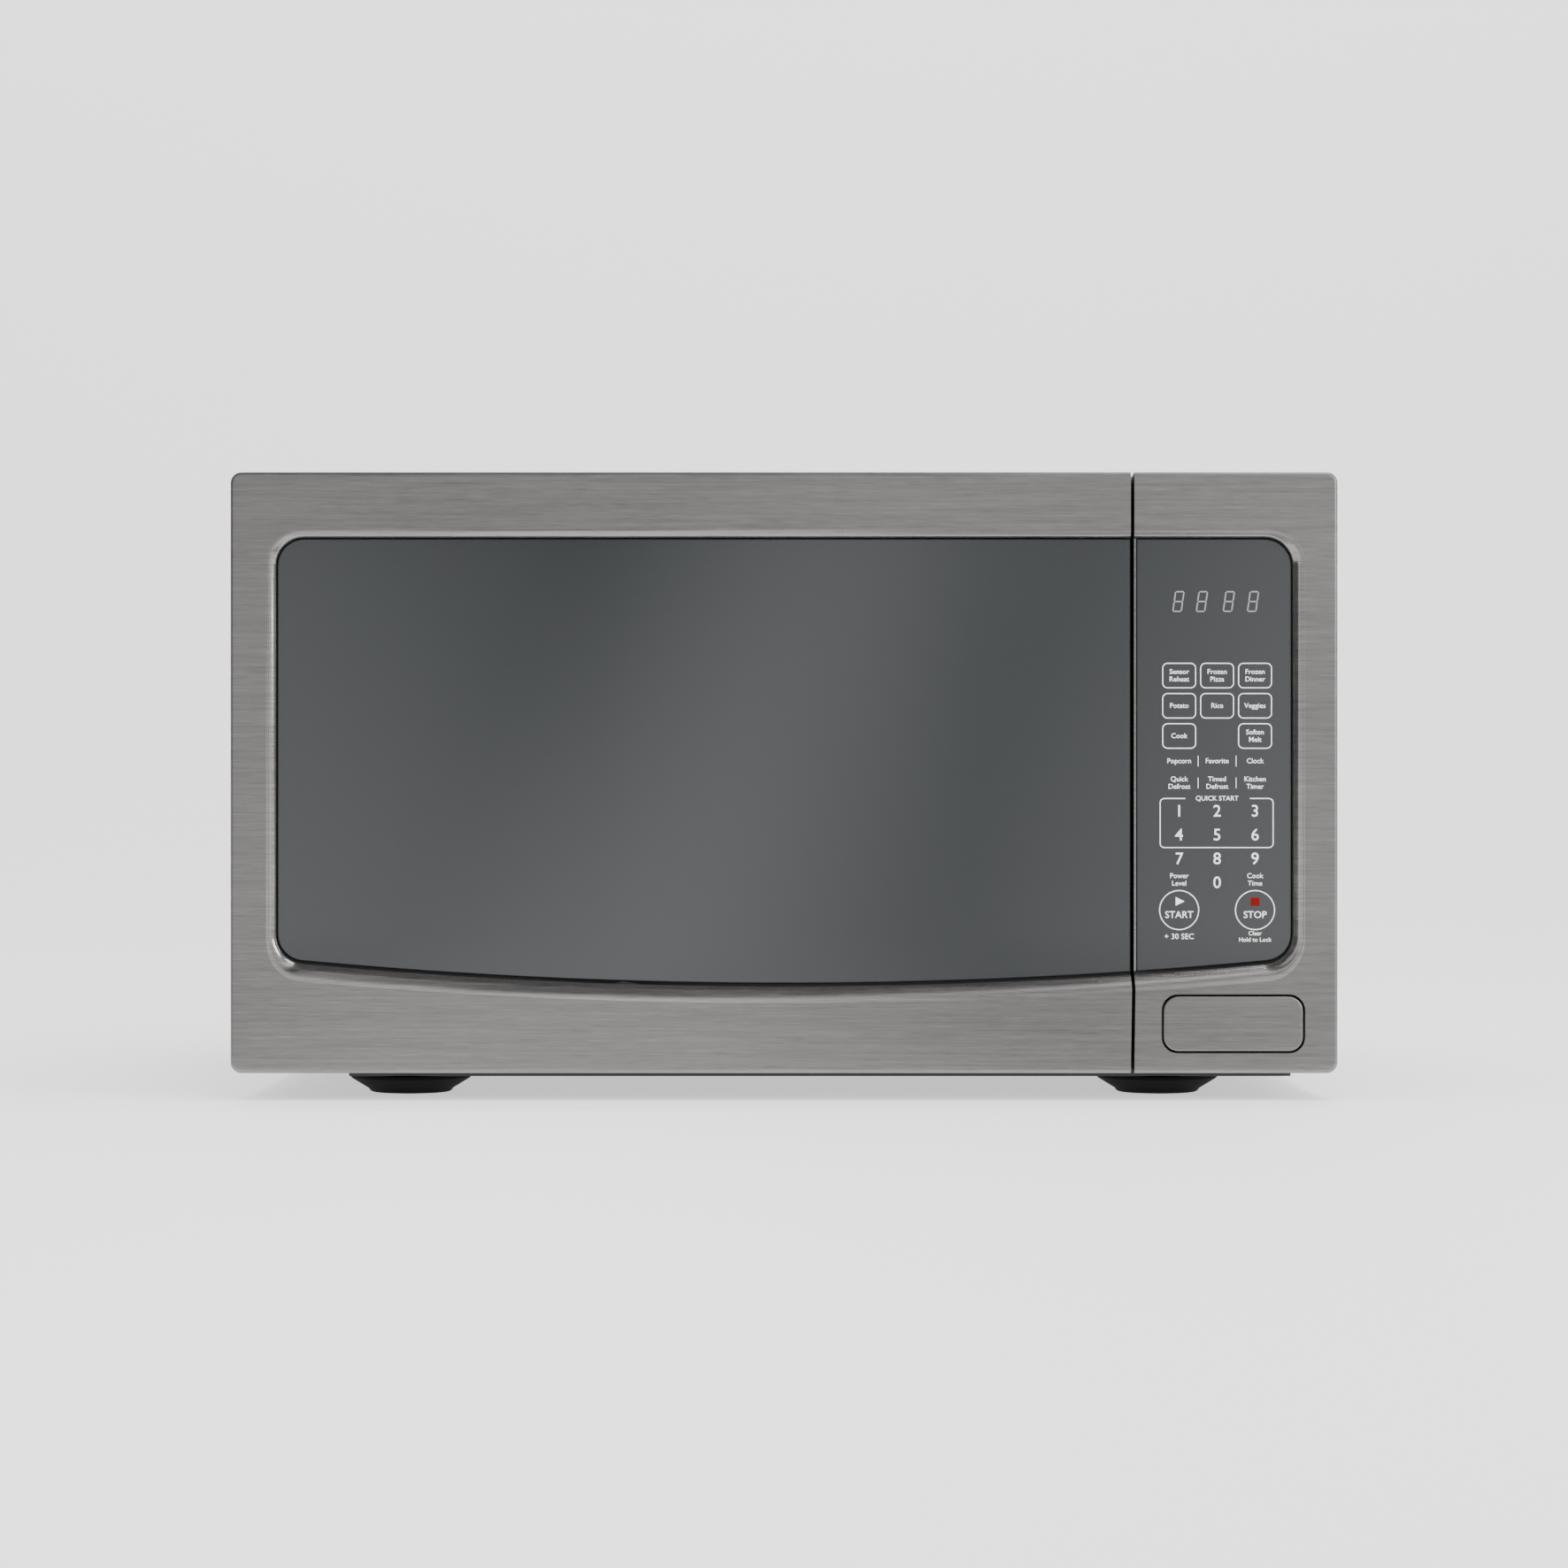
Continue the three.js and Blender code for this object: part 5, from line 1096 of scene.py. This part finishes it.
def build_cover():
    """Painted cover: a U of sheet with a small bend at each upper edge, and a row of slots in both sides."""
    lo, hi = low("outer_cover"), high("outer_cover")
    bend_r, sheet = settings().sheet.bend, settings().sheet.cover
    outside = np.concatenate([
        [(hi.x, lo.z)], arc((hi.x - bend_r, hi.z - bend_r), bend_r, 0, 90, 7),
        arc((lo.x + bend_r, hi.z - bend_r), bend_r, 90, 180, 7), [(lo.x, lo.z)]])
    inside = np.concatenate([
        [(lo.x + sheet, lo.z)], arc((lo.x + bend_r, hi.z - bend_r), bend_r - sheet, 180, 90, 7),
        arc((hi.x - bend_r, hi.z - bend_r), bend_r - sheet, 90, 0, 7), [(hi.x - sheet, lo.z)]])
    section = np.concatenate([outside, inside])
    cover = Surface().sweep([facing(section, y) for y in np.linspace(lo.y, hi.y, 5)])
    cover = cover.piece("cover", "cabinet", "painted_cover", FINISH["painted_cover"], ["outer_cover"])
    slots = Surface()
    middle = hi.y - 85 * MM, TOP / 2
    for count in range(6):
        y = middle[0] + (count - 2.5) * 9 * MM
        outline = rounded_outline(y - 1.75 * MM, y + 1.75 * MM, middle[1] - 35 * MM, middle[1] + 35 * MM,
                                  1.7 * MM)
        slots.sweep([np.column_stack([np.full(len(outline), x), outline]) for x in (lo.x - MM, hi.x + MM)])
    cut_away(cover, slots)


def screw_head():
    """A pan-head screw with a cross recess, on the origin and facing +Y: places and faces."""
    profile = np.array([(0, 0), (3.8, 0), (3.8, 0.6), (3.3, 1.35), (2.2, 1.9), (0, 2.1)]) * MM
    head = Surface().lathe(profile, (0, 0, 0), "y", 20)
    head = head.piece("screw", "cabinet", None, FINISH["galvanised_steel"])
    cross = Surface()
    for w, h in ((2.1, 0.45), (0.45, 2.1)):
        cross.sweep(box_surface((-w * MM, 1.0 * MM, -h * MM), (w * MM, 3 * MM, h * MM), 0.05 * MM))
        cut_away(head, cross)
        cross = Surface()
    places, faces = coords(head.data), [tuple(face.vertices) for face in head.data.polygons]
    bpy.data.objects.remove(head)
    return places, faces


def build_rear_screws():
    """Eight screws round the rear panel."""
    y = high("rear_panel").y
    side, top = high("rear_panel").x - 9 * MM, high("rear_panel").z - 9 * MM
    places, faces = screw_head()
    screws = Surface()
    at_sides = [(s * side, h) for s in (-1, 1) for h in (30 * MM, TOP / 2, top)]
    for x, z in at_sides + [(-100 * MM, top), (100 * MM, top)]:
        screws.add(places + (x, y, z), faces)
    screws.piece("rear_screws", "cabinet", "galvanised_steel", FINISH["galvanised_steel"])


def build_feet():
    """Four rubber feet: cones with a rounded tread and a screw hole from below."""
    for node in ("front_left_foot", "front_right_foot", "rear_left_foot", "rear_right_foot"):
        lo, hi = low(node), high(node)
        r, top = (hi.x - lo.x) / 2, hi.z
        tread = r - 10 * MM
        profile = [(0, 4 * MM), (4 * MM, 4 * MM), (4 * MM, 0.4 * MM), (4.4 * MM, 0), (tread - 3 * MM, 0)]
        profile += [tuple(p) for p in arc((tread - 3 * MM, 3 * MM), 3 * MM, -80, -20, 6)]
        profile += [(r - 0.8 * MM, top - 2.6 * MM), (r, top - 1.8 * MM), (r, top - 0.4 * MM)]
        profile += [(r - 0.4 * MM, top), (0, top)]
        centre = ((lo.x + hi.x) / 2, (lo.y + hi.y) / 2, 0)
        Surface().lathe(profile, centre, "z", 72).piece(node + "_rubber", "cabinet", "foot_rubber",
                                                         FINISH["foot_rubber"], [node])


def build_rear_fittings():
    """Two spacers with rounded tips, and the bushing that the cord comes out of."""
    for node in ("left_rear_spacer", "right_rear_spacer"):
        lo, hi = low(node), high(node)
        r, deep = (hi.x - lo.x) / 2, hi.y - lo.y
        profile = [(0, 0), (r, 0), (r, 1.5 * MM), (r - 0.9 * MM, 2 * MM), (r - 1.3 * MM, deep - 1.6 * MM),
                   (r - 2.9 * MM, deep), (0, deep)]
        centre = ((lo.x + hi.x) / 2, lo.y, (lo.z + hi.z) / 2)
        Surface().lathe(profile, centre, "y", 40).piece(node + "_bumper", "cabinet", "black_plastic",
                                                         FINISH["black_plastic"], [node])
    lo, hi = low("cord_bushing"), high("cord_bushing")
    r, back, face = (hi.x - lo.x) / 2, hi.y, high("rear_panel").y + GLASS_GAP
    neck, bore = r - 4 * MM, r - 8 * MM
    profile = [(bore, lo.y), (neck, lo.y), (neck, face), (r, face), (r, back - 1.2 * MM),
               (r - 1.2 * MM, back),
               (bore + 0.8 * MM, back), (bore, back - 0.8 * MM)]
    centre = ((lo.x + hi.x) / 2, 0, (lo.z + hi.z) / 2)
    Surface().lathe(profile, centre, "y", 48).piece("bushing", "cabinet", "black_plastic",
                                                     FINISH["black_plastic"], ["cord_bushing"])


# ---------------------------------------------------------------- door's inside
def hexagons(lo, hi, pitch, hole, y0, y1):
    """A perforated sheet: hexagonal cells in staggered rows, each a ring of six quads on both faces with six
    more round its hole. Cells share their corners once doubles are merged."""
    radius = pitch / math.sqrt(3)
    rows = int((hi[1] - lo[1] - 2 * radius) / (1.5 * radius)) + 1
    columns = int((hi[0] - lo[0] - pitch * 1.5) / pitch) + 1
    row, column = np.meshgrid(np.arange(rows), np.arange(columns), indexing="ij")
    x = lo[0] + pitch / 2 + (column + 0.5 * (row % 2)) * pitch
    z = lo[1] + radius + row * 1.5 * radius
    centre = np.stack([x.ravel(), z.ravel()], -1)[:, None]
    turn = np.radians(np.arange(6) * 60 + 30)
    ring = np.stack([np.cos(turn), np.sin(turn)], -1)[None]
    outer, inner = centre + ring * radius, centre + ring * hole / 2
    places = np.concatenate([facing(outer, y0), facing(inner, y0), facing(outer, y1), facing(inner, y1)], 1)
    i = np.arange(6)
    j = (i + 1) % 6
    front = np.stack([i, j, j + 6, i + 6], -1)
    back = front[:, ::-1] + 12
    hole_wall = np.stack([i + 6, j + 6, j + 18, i + 18], -1)
    cell = np.concatenate([front, back, hole_wall])
    faces = (cell[None] + np.arange(len(places))[:, None, None] * 24).reshape(-1, 4)
    return places.reshape(-1, 3), faces


def build_screen():
    """Perforated screen of the door's window, in a plain border."""
    lo, hi = low("door_screen"), high("door_screen")
    border = 6 * MM
    sheet = settings().sheet
    places, faces = hexagons((lo.x + border / 2, lo.z + border / 2), (hi.x - border / 2, hi.z - border / 2),
                             sheet.screen_pitch, sheet.screen_hole, lo.y + 0.1 * MM, hi.y - 0.1 * MM)
    Surface().add(places, faces).piece("screen", "door", "screen_paint", FINISH["screen_paint"],
                                       ["door_screen"])
    frame_bars = Surface()
    for x0, x1, z0, z1 in ((lo.x, hi.x, lo.z, lo.z + border), (lo.x, hi.x, hi.z - border, hi.z),
                           (lo.x, lo.x + border, lo.z + border, hi.z - border),
                           (hi.x - border, hi.x, lo.z + border, hi.z - border)):
        frame_bars.sweep(box_surface((x0, lo.y, z0), (x1, hi.y, z1), 0.1 * MM))
    frame_bars.piece("screen_border", "door", "screen_paint", FINISH["screen_paint"])


# ---------------------------------------------------------------- turntable
def turntable_centre():
    """The turntable's axis."""
    lo, hi = low("glass_tray"), high("glass_tray")
    return np.array([(lo.x + hi.x) / 2, (lo.y + hi.y) / 2, 0])


def build_tray():
    """Glass tray: a flat dish whose rim rises as a quarter ellipse to a round lip, with two raised rings."""
    lo, hi = low("glass_tray"), high("glass_tray")
    r, top, bottom = (hi.x - lo.x) / 2, hi.z, lo.z + 6 * MM
    floor, lip = bottom + 5 * MM, 2.1 * MM
    a = np.linspace(0, math.pi / 2, 9)
    rise = top - lip - bottom
    under = np.column_stack([r - 16 * MM + 16 * MM * np.sin(a), bottom + rise * (1 - np.cos(a))])
    over = np.column_stack([r - 18 * MM + 13.8 * MM * np.sin(a),
                            floor + (top - lip - floor) * (1 - np.cos(a))])
    rings = [(at + side * MM, floor + high_by * MM) for at in (0.74 * r, 0.3 * r)
             for side, high_by in ((2, 0), (1, 0.45), (0, 0.6), (-1, 0.45), (-2, 0))]
    profile = np.concatenate([[(0, bottom)], under, arc((r - lip, top - lip), lip, 15, 165, 7), over[::-1],
                              rings, [(0, floor)]])
    Surface().lathe(profile, turntable_centre(), "z", 160).piece(
        "tray", "tray", "clear_glass", FINISH["clear_glass"], ["glass_tray"])
    lugs = Surface()
    centre = turntable_centre()
    for degrees in (60, 180, 300):
        lug = box_surface((11 * MM, -5 * MM, lo.z), (19 * MM, 5 * MM, bottom - 0.1 * MM), 0.9 * MM)
        lugs.sweep(turned_round(lug + centre, centre, degrees))
    lugs.piece("tray_lugs", "tray", "clear_glass", FINISH["clear_glass"])


def build_roller_ring():
    """Roller ring with three capped axles, and its three wheels."""
    centre = turntable_centre()
    lo, hi = low("roller_ring"), high("roller_ring")
    axle_z = (lo.z + hi.z) / 2
    wheel = low("roller_wheel_1").y - centre[1], high("roller_wheel_1").y - centre[1]
    wheel_r = (high("roller_wheel_1").z - low("roller_wheel_1").z) / 2
    outside = wheel[0] - GLASS_GAP
    section = rounded_outline(outside - 7.5 * MM, outside, lo.z, hi.z, 1.6 * MM, 5)
    ring = Surface().lathe(section, centre, "z", 144)
    cap = wheel[1] + GLASS_GAP
    axle = np.array([(0, outside - 2 * MM), (2 * MM, outside - 2 * MM), (2 * MM, cap), (3.4 * MM, cap),
                     (3.4 * MM, cap + 1.4 * MM), (2.8 * MM, cap + 2 * MM), (0, cap + 2 * MM)])
    tyre = rounded_outline(2.35 * MM, wheel_r, wheel[0], wheel[1], 0.9 * MM, 4)
    hub = centre + (0, 0, axle_z)
    for number in range(3):
        degrees = 90 + 120 * number
        for surface, profile, sides in ((ring, axle, 20), (Surface(), tyre, 48)):
            spun = Surface().lathe(profile, hub, "x", sides)
            surface.add(turned_round(np.concatenate(spun.places), hub, degrees), spun.faces)
            if profile is tyre:
                name = f"roller_{number + 1}"
                surface.piece(name + "_tyre", name, "white_plastic", FINISH["white_plastic"],
                              [f"roller_wheel_{number + 1}"])
    ring.piece("ring", "roller_ring", "white_plastic", FINISH["white_plastic"], ["roller_ring"])


# ---------------------------------------------------------------- springs and fan
def coil(length_along, outside):
    """A coil spring along Z from the origin, its end turns closed: rings of round wire along a helix."""
    sheet = settings().sheet
    t = np.linspace(0, 1, 26 * sheet.turns)
    rise = np.clip((t - 0.1) / 0.8, 0, 1) * (length_along - sheet.wire) + sheet.wire / 2
    rise += (np.minimum(t, 0.1) + np.maximum(t, 0.9) - 1.0) * 0.4 * sheet.wire
    turn, radius = 2 * np.pi * sheet.turns * t, outside - sheet.wire / 2
    path = np.stack([radius * np.cos(turn), radius * np.sin(turn), rise], -1)
    return tube_along(path, sheet.wire / 2)


def build_springs():
    """Coil springs of the release button and the latch, each given its own copy of its mesh."""
    lo, hi = low("button_spring"), high("button_spring")
    start = (lo.x + hi.x) / 2, lo.y, (lo.z + hi.z) / 2
    rings = coil(hi.y - lo.y, (hi.x - lo.x) / 2)[..., [0, 2, 1]] + start
    spring = Surface().sweep(rings).piece("button_coil", "cabinet", "spring_steel", FINISH["spring_steel"],
                                          ["button_spring"], 60)
    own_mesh(spring)
    lo, hi = low("latch_spring"), high("latch_spring")
    rings = coil(hi.z - lo.z, (hi.x - lo.x) / 2) + ((lo.x + hi.x) / 2, (lo.y + hi.y) / 2, lo.z)
    spring = Surface().sweep(rings).piece("latch_coil", "door", "spring_steel", FINISH["spring_steel"],
                                          ["latch_spring"], 60)
    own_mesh(spring)


def build_fan():
    """Fan wheel: five blades of a thin wing section, twisted from steep at the hub to flat at the tip."""
    lo, hi = low("fan_blade"), high("fan_blade")
    motor = low("fan_motor") + high("fan_motor")
    centre = np.array([motor.x, 0, motor.z]) / 2
    mid_y, reach = (lo.y + hi.y) / 2, (hi.x - lo.x) / 2
    wheel = Surface()
    chordwise = np.linspace(-1, 1, 9)
    loop = np.concatenate([chordwise, chordwise[::-1]])
    side = np.concatenate([np.ones(9), -np.ones(9)]) * np.sqrt(np.clip(1.02 - loop ** 2, 0, 1)) * 0.8 * MM
    sections = []
    for share in np.linspace(0, 1, 9):
        pitch = math.radians(48 - 20 * share)
        half = (10.5 + 5.0 * math.sqrt(share)) * MM * (1.0 if share < 1 else 0.86)
        along, thick = loop * half, side + (1 - loop ** 2) * 1.2 * MM
        out = 10 * MM + share * (reach - 11.5 * MM)
        sections.append(np.column_stack([np.full(18, out), along * math.sin(pitch) + thick * math.cos(pitch),
                                         along * math.cos(pitch) - thick * math.sin(pitch)]))
    for blade in range(5):
        a = 2 * math.pi * blade / 5
        spin = np.array([[math.cos(a), 0, -math.sin(a)], [0, 1, 0], [math.sin(a), 0, math.cos(a)]])
        wheel.sweep(np.array(sections) @ spin + centre + (0, mid_y, 0))
    hub = [(2.3 * MM, lo.y), (12 * MM, lo.y), (12 * MM, hi.y - 2 * MM), (10 * MM, hi.y), (2.3 * MM, hi.y)]
    wheel.lathe(hub, centre, "y", 40)
    wheel.piece("fan_wheel", "fan", "white_plastic", FINISH["white_plastic"], ["fan_blade"])


# ---------------------------------------------------------------- the frame's own shapes
def build_frame_finishes():
    """Every frame node that no new piece stands for keeps its shape and gets a finish."""
    broad = {"choke_cover": 0.8, "turntable_coupler": 0.6, "latch_hook": 0.5, "turntable_motor": 0.5,
             "oven_lamp": 0.5, "hv_transformer": 0.6, "hv_capacitor": 0.8, "front_flange": 0.2}
    for node in frame["nodes"]:
        if node not in STOOD_FOR:
            finish_frame_node(node, broad.get(node, 0.25) * MM)


# ---------------------------------------------------------------- studio
def stage_piece(name, surface, material, smooth=True):
    """A mesh of the studio, which isn't part of the oven."""
    mesh = bpy.data.meshes.new(name)
    mesh.from_pydata(np.concatenate(surface.places).tolist(), [], surface.faces)
    mesh.materials.append(material)
    if smooth:
        mesh.shade_smooth()
    piece = bpy.data.objects.new(name, mesh)
    bpy.context.scene.collection.objects.link(piece)
    return piece


def build_backdrop():
    """Pale floor that curves up into a wall, far behind the oven."""
    made = Shader("studio_floor", roughness=0.7)
    base = tuple(settings().finish.floor)
    made.set(base_color=made.mix(made.noise((1.5, 1.5, 1.5), 1, 0.5), shade(base, 0.99), shade(base, 1.01)))
    made.set(emission_color=(1, 1, 1), emission_strength=settings().studio.floor_glow)
    bend_at, radius, reach, low_by = 1.8, 1.2, 4.0, 0.3 * MM
    curve = arc((bend_at, radius - low_by), radius, -90, 0, 24)
    profile = np.concatenate([[(-6.0, -low_by)], curve, [(bend_at + radius, reach)]])
    places = np.stack([np.column_stack([np.full(len(profile), x), profile]) for x in (-6.0, 6.0)], 1)
    quads = grid_quads(len(profile), 2)[:, ::-1]
    stage_piece("studio_backdrop", Surface().add(places, [tuple(q) for q in quads]), made.material)


def glow_shader(name):
    """A slanted band whose light falls from its middle to nothing at its edges, a fainter glow towards both
    sides, and one that grows down to the floor."""
    studio = settings().studio
    made = Shader(name, roughness=1.0, base_color=(0, 0, 0), specular_ior_level=0.0)
    x, z = made.axis("X"), made.axis("Z")
    band = (1 - (x + z * studio.band_slant).maths("ABSOLUTE") / studio.band_width).clamp()
    across_room = x + studio.band_x
    sides = ((across_room.maths("ABSOLUTE") - 0.22) * 2.6).clamp() * studio.side_strength
    sides = sides * ((across_room * 2 + 0.5).clamp() * studio.right_extra + 1)
    low_glow = (1 - z / 0.5).clamp() * studio.low_strength
    glow = band * band * (3 - 2 * band) * studio.band_strength + sides + low_glow
    made.set(emission_color=made.mix(glow / 2.5, (0, 0, 0), (1, 1, 1)), emission_strength=2.5)
    return made.material


def build_reflection_card():
    """Cards for the glass to reflect, which only reflections see: one that stands behind the camera, and one
    on the floor that carries its lower edge on."""
    back, half, z1 = FRONT - settings().camera_distance - 0.3, 2.4, 2.8
    glow = glow_shader("reflection_card")
    standing = np.array([(-half, back, 0), (half, back, 0), (half, back, z1), (-half, back, z1)])
    lying = np.array([(-half, back, 0), (half, back, 0), (half, -0.32, 0), (-half, -0.32, 0)])
    for name, corners, order in (("studio_reflection_card", standing, (0, 3, 2, 1)),
                                 ("studio_reflection_floor", lying, (0, 1, 2, 3))):
        card = stage_piece(name, Surface().add(corners, [order]), glow, False)
        card.location = (settings().studio.band_x, 0, 0.001)
        card.visible_camera = card.visible_diffuse = card.visible_shadow = False


def build_flags():
    """Dark cards at the left and above, which only reflections see: the steel's rims turn dark towards
    them."""
    made = Shader("flag", roughness=1.0, base_color=(0.01, 0.01, 0.01), specular_ior_level=0.0)
    left = np.array([(-1.7, -2.9, 0.001), (-1.7, -0.3, 0.001), (-1.7, -0.3, 2.2), (-1.7, -2.9, 2.2)])
    above = np.array([(-1.7, -2.8, 2.0), (0.33, -2.8, 2.0), (0.33, 0.3, 2.0), (-1.7, 0.3, 2.0)])
    for name, corners in (("studio_flag_left", left), ("studio_flag_above", above)):
        flag = stage_piece(name, Surface().add(corners, [(0, 1, 2, 3)]), made.material, False)
        flag.visible_camera = flag.visible_diffuse = flag.visible_shadow = False


def area_light(name, where, target, size, power, size_y=None):
    """A soft rectangular light that faces a target."""
    light = bpy.data.lights.new(name, "AREA")
    light.shape, light.size, light.size_y, light.energy = "RECTANGLE", size, size_y or size, power
    lamp = bpy.data.objects.new(name, light)
    bpy.context.scene.collection.objects.link(lamp)
    lamp.location = where
    lamp.rotation_euler = (Vector(target) - Vector(where)).to_track_quat("-Z", "Y").to_euler()


def build_stage():
    """Backdrop, reflection card, lights, world and camera."""
    studio = settings().studio
    build_backdrop()
    build_reflection_card()
    build_flags()
    middle = (0, 0, TOP / 2)
    area_light("light_top", (0.2, -0.6, 2.6), middle, 2.4, studio.top_power)
    area_light("light_right", (2.4, -1.9, 1.1), middle, 1.5, studio.right_power)
    area_light("light_left", (-2.4, -1.7, 1.3), middle, 1.5, studio.left_power)
    area_light("light_front", (0.6, -3.4, 2.3), middle, 1.6, studio.front_power)
    world = bpy.data.worlds.new("studio")
    world.use_nodes = True
    world.node_tree.nodes["Background"].inputs["Color"].default_value = (1, 1, 1, 1)
    world.node_tree.nodes["Background"].inputs["Strength"].default_value = studio.ambient
    bpy.context.scene.world = world
    camera = bpy.data.objects.new("camera", bpy.data.cameras.new("camera"))
    bpy.context.scene.collection.objects.link(camera)
    camera.data.sensor_width = 36
    camera.data.lens = 36 * settings().camera_distance / settings().view_width
    camera.location = (0, FRONT - settings().camera_distance, settings().camera_height)
    camera.rotation_euler = (math.radians(90), 0, 0)
    camera.data.clip_end = 50
    bpy.context.scene.camera = camera


# ---------------------------------------------------------------- operators
class OVEN_OT_door_front(bpy.types.Operator):
    """Build the door's steel skin and the body behind it"""
    bl_idname = "oven.door_front"
    bl_label = "Door front"

    def execute(self, context):
        """Builds it once."""
        build_door_front()
        return {"FINISHED"}


class OVEN_OT_fascia_front(bpy.types.Operator):
    """Build the fascia's steel skin, edge and body"""
    bl_idname = "oven.fascia_front"
    bl_label = "Fascia front"

    def execute(self, context):
        """Builds it once."""
        build_fascia_front()
        return {"FINISHED"}


class OVEN_OT_glass(bpy.types.Operator):
    """Build the door glass and the keypad glass"""
    bl_idname = "oven.glass"
    bl_label = "Glass"

    def execute(self, context):
        """Builds it once."""
        build_glass()
        return {"FINISHED"}


class OVEN_OT_release_button(bpy.types.Operator):
    """Build the door release's cap and body"""
    bl_idname = "oven.release_button"
    bl_label = "Release button"

    def execute(self, context):
        """Builds it once."""
        build_release_button()
        return {"FINISHED"}


class OVEN_OT_printing(bpy.types.Operator):
    """Print the keypad and the display's digits"""
    bl_idname = "oven.printing"
    bl_label = "Printing"

    def execute(self, context):
        """Builds it once."""
        build_printing()
        return {"FINISHED"}


class OVEN_OT_cover(bpy.types.Operator):
    """Build the painted cover"""
    bl_idname = "oven.cover"
    bl_label = "Cover"

    def execute(self, context):
        """Builds it once."""
        build_cover()
        return {"FINISHED"}


class OVEN_OT_rear_screws(bpy.types.Operator):
    """Build the rear panel's screws"""
    bl_idname = "oven.rear_screws"
    bl_label = "Rear screws"

    def execute(self, context):
        """Builds it once."""
        build_rear_screws()
        return {"FINISHED"}


class OVEN_OT_feet(bpy.types.Operator):
    """Build the four feet"""
    bl_idname = "oven.feet"
    bl_label = "Feet"

    def execute(self, context):
        """Builds it once."""
        build_feet()
        return {"FINISHED"}


class OVEN_OT_rear_fittings(bpy.types.Operator):
    """Build the rear spacers and the cord's bushing"""
    bl_idname = "oven.rear_fittings"
    bl_label = "Rear fittings"

    def execute(self, context):
        """Builds it once."""
        build_rear_fittings()
        return {"FINISHED"}


class OVEN_OT_screen(bpy.types.Operator):
    """Build the door's perforated screen"""
    bl_idname = "oven.screen"
    bl_label = "Screen"

    def execute(self, context):
        """Builds it once."""
        build_screen()
        return {"FINISHED"}


class OVEN_OT_tray(bpy.types.Operator):
    """Build the glass tray"""
    bl_idname = "oven.tray"
    bl_label = "Tray"

    def execute(self, context):
        """Builds it once."""
        build_tray()
        return {"FINISHED"}


class OVEN_OT_roller_ring(bpy.types.Operator):
    """Build the roller ring and its wheels"""
    bl_idname = "oven.roller_ring"
    bl_label = "Roller ring"

    def execute(self, context):
        """Builds it once."""
        build_roller_ring()
        return {"FINISHED"}


class OVEN_OT_springs(bpy.types.Operator):
    """Build the two coil springs"""
    bl_idname = "oven.springs"
    bl_label = "Springs"

    def execute(self, context):
        """Builds it once."""
        build_springs()
        return {"FINISHED"}


class OVEN_OT_fan(bpy.types.Operator):
    """Build the fan wheel"""
    bl_idname = "oven.fan"
    bl_label = "Fan"

    def execute(self, context):
        """Builds it once."""
        build_fan()
        return {"FINISHED"}


class OVEN_OT_frame_finishes(bpy.types.Operator):
    """Finish the pieces that keep the frame's own shape"""
    bl_idname = "oven.frame_finishes"
    bl_label = "Frame finishes"

    def execute(self, context):
        """Builds it once."""
        build_frame_finishes()
        return {"FINISHED"}


class OVEN_OT_stage(bpy.types.Operator):
    """Build the floor, lights and camera"""
    bl_idname = "oven.stage"
    bl_label = "Stage"

    def execute(self, context):
        """Builds it once."""
        build_stage()
        return {"FINISHED"}


OPERATORS = (
    OVEN_OT_door_front,
    OVEN_OT_fascia_front,
    OVEN_OT_glass,
    OVEN_OT_release_button,
    OVEN_OT_printing,
    OVEN_OT_cover,
    OVEN_OT_rear_screws,
    OVEN_OT_feet,
    OVEN_OT_rear_fittings,
    OVEN_OT_screen,
    OVEN_OT_tray,
    OVEN_OT_roller_ring,
    OVEN_OT_springs,
    OVEN_OT_fan,
    OVEN_OT_frame_finishes,
    OVEN_OT_stage,
)


class OVEN_PT_panel(bpy.types.Panel):
    """Sidebar panel with a button for each group of pieces"""
    bl_label = "Microwave oven"
    bl_idname = "OVEN_PT_panel"
    bl_space_type = "VIEW_3D"
    bl_region_type = "UI"
    bl_category = "Oven"

    def draw(self, context):
        """One button per operator."""
        for operator in OPERATORS:
            self.layout.operator(operator.bl_idname)


GROUPS = (FrontSizes, KeypadSizes, SheetSizes, Finishes, Studio, OvenSettings)


def register():
    """Registers the settings, the operators and the panel."""
    for group in GROUPS + OPERATORS + (OVEN_PT_panel,):
        bpy.utils.register_class(group)
    bpy.types.Scene.oven_settings = PointerProperty(type=OvenSettings)


def unregister():
    """Takes away what register added."""
    del bpy.types.Scene.oven_settings
    for group in reversed(GROUPS + OPERATORS + (OVEN_PT_panel,)):
        bpy.utils.unregister_class(group)


def main():
    """Builds every piece in order."""
    register()
    make_finishes()
    for operator in OPERATORS:
        group, name = operator.bl_idname.split(".")
        getattr(getattr(bpy.ops, group), name)()


if __name__ == "__main__":
    main()
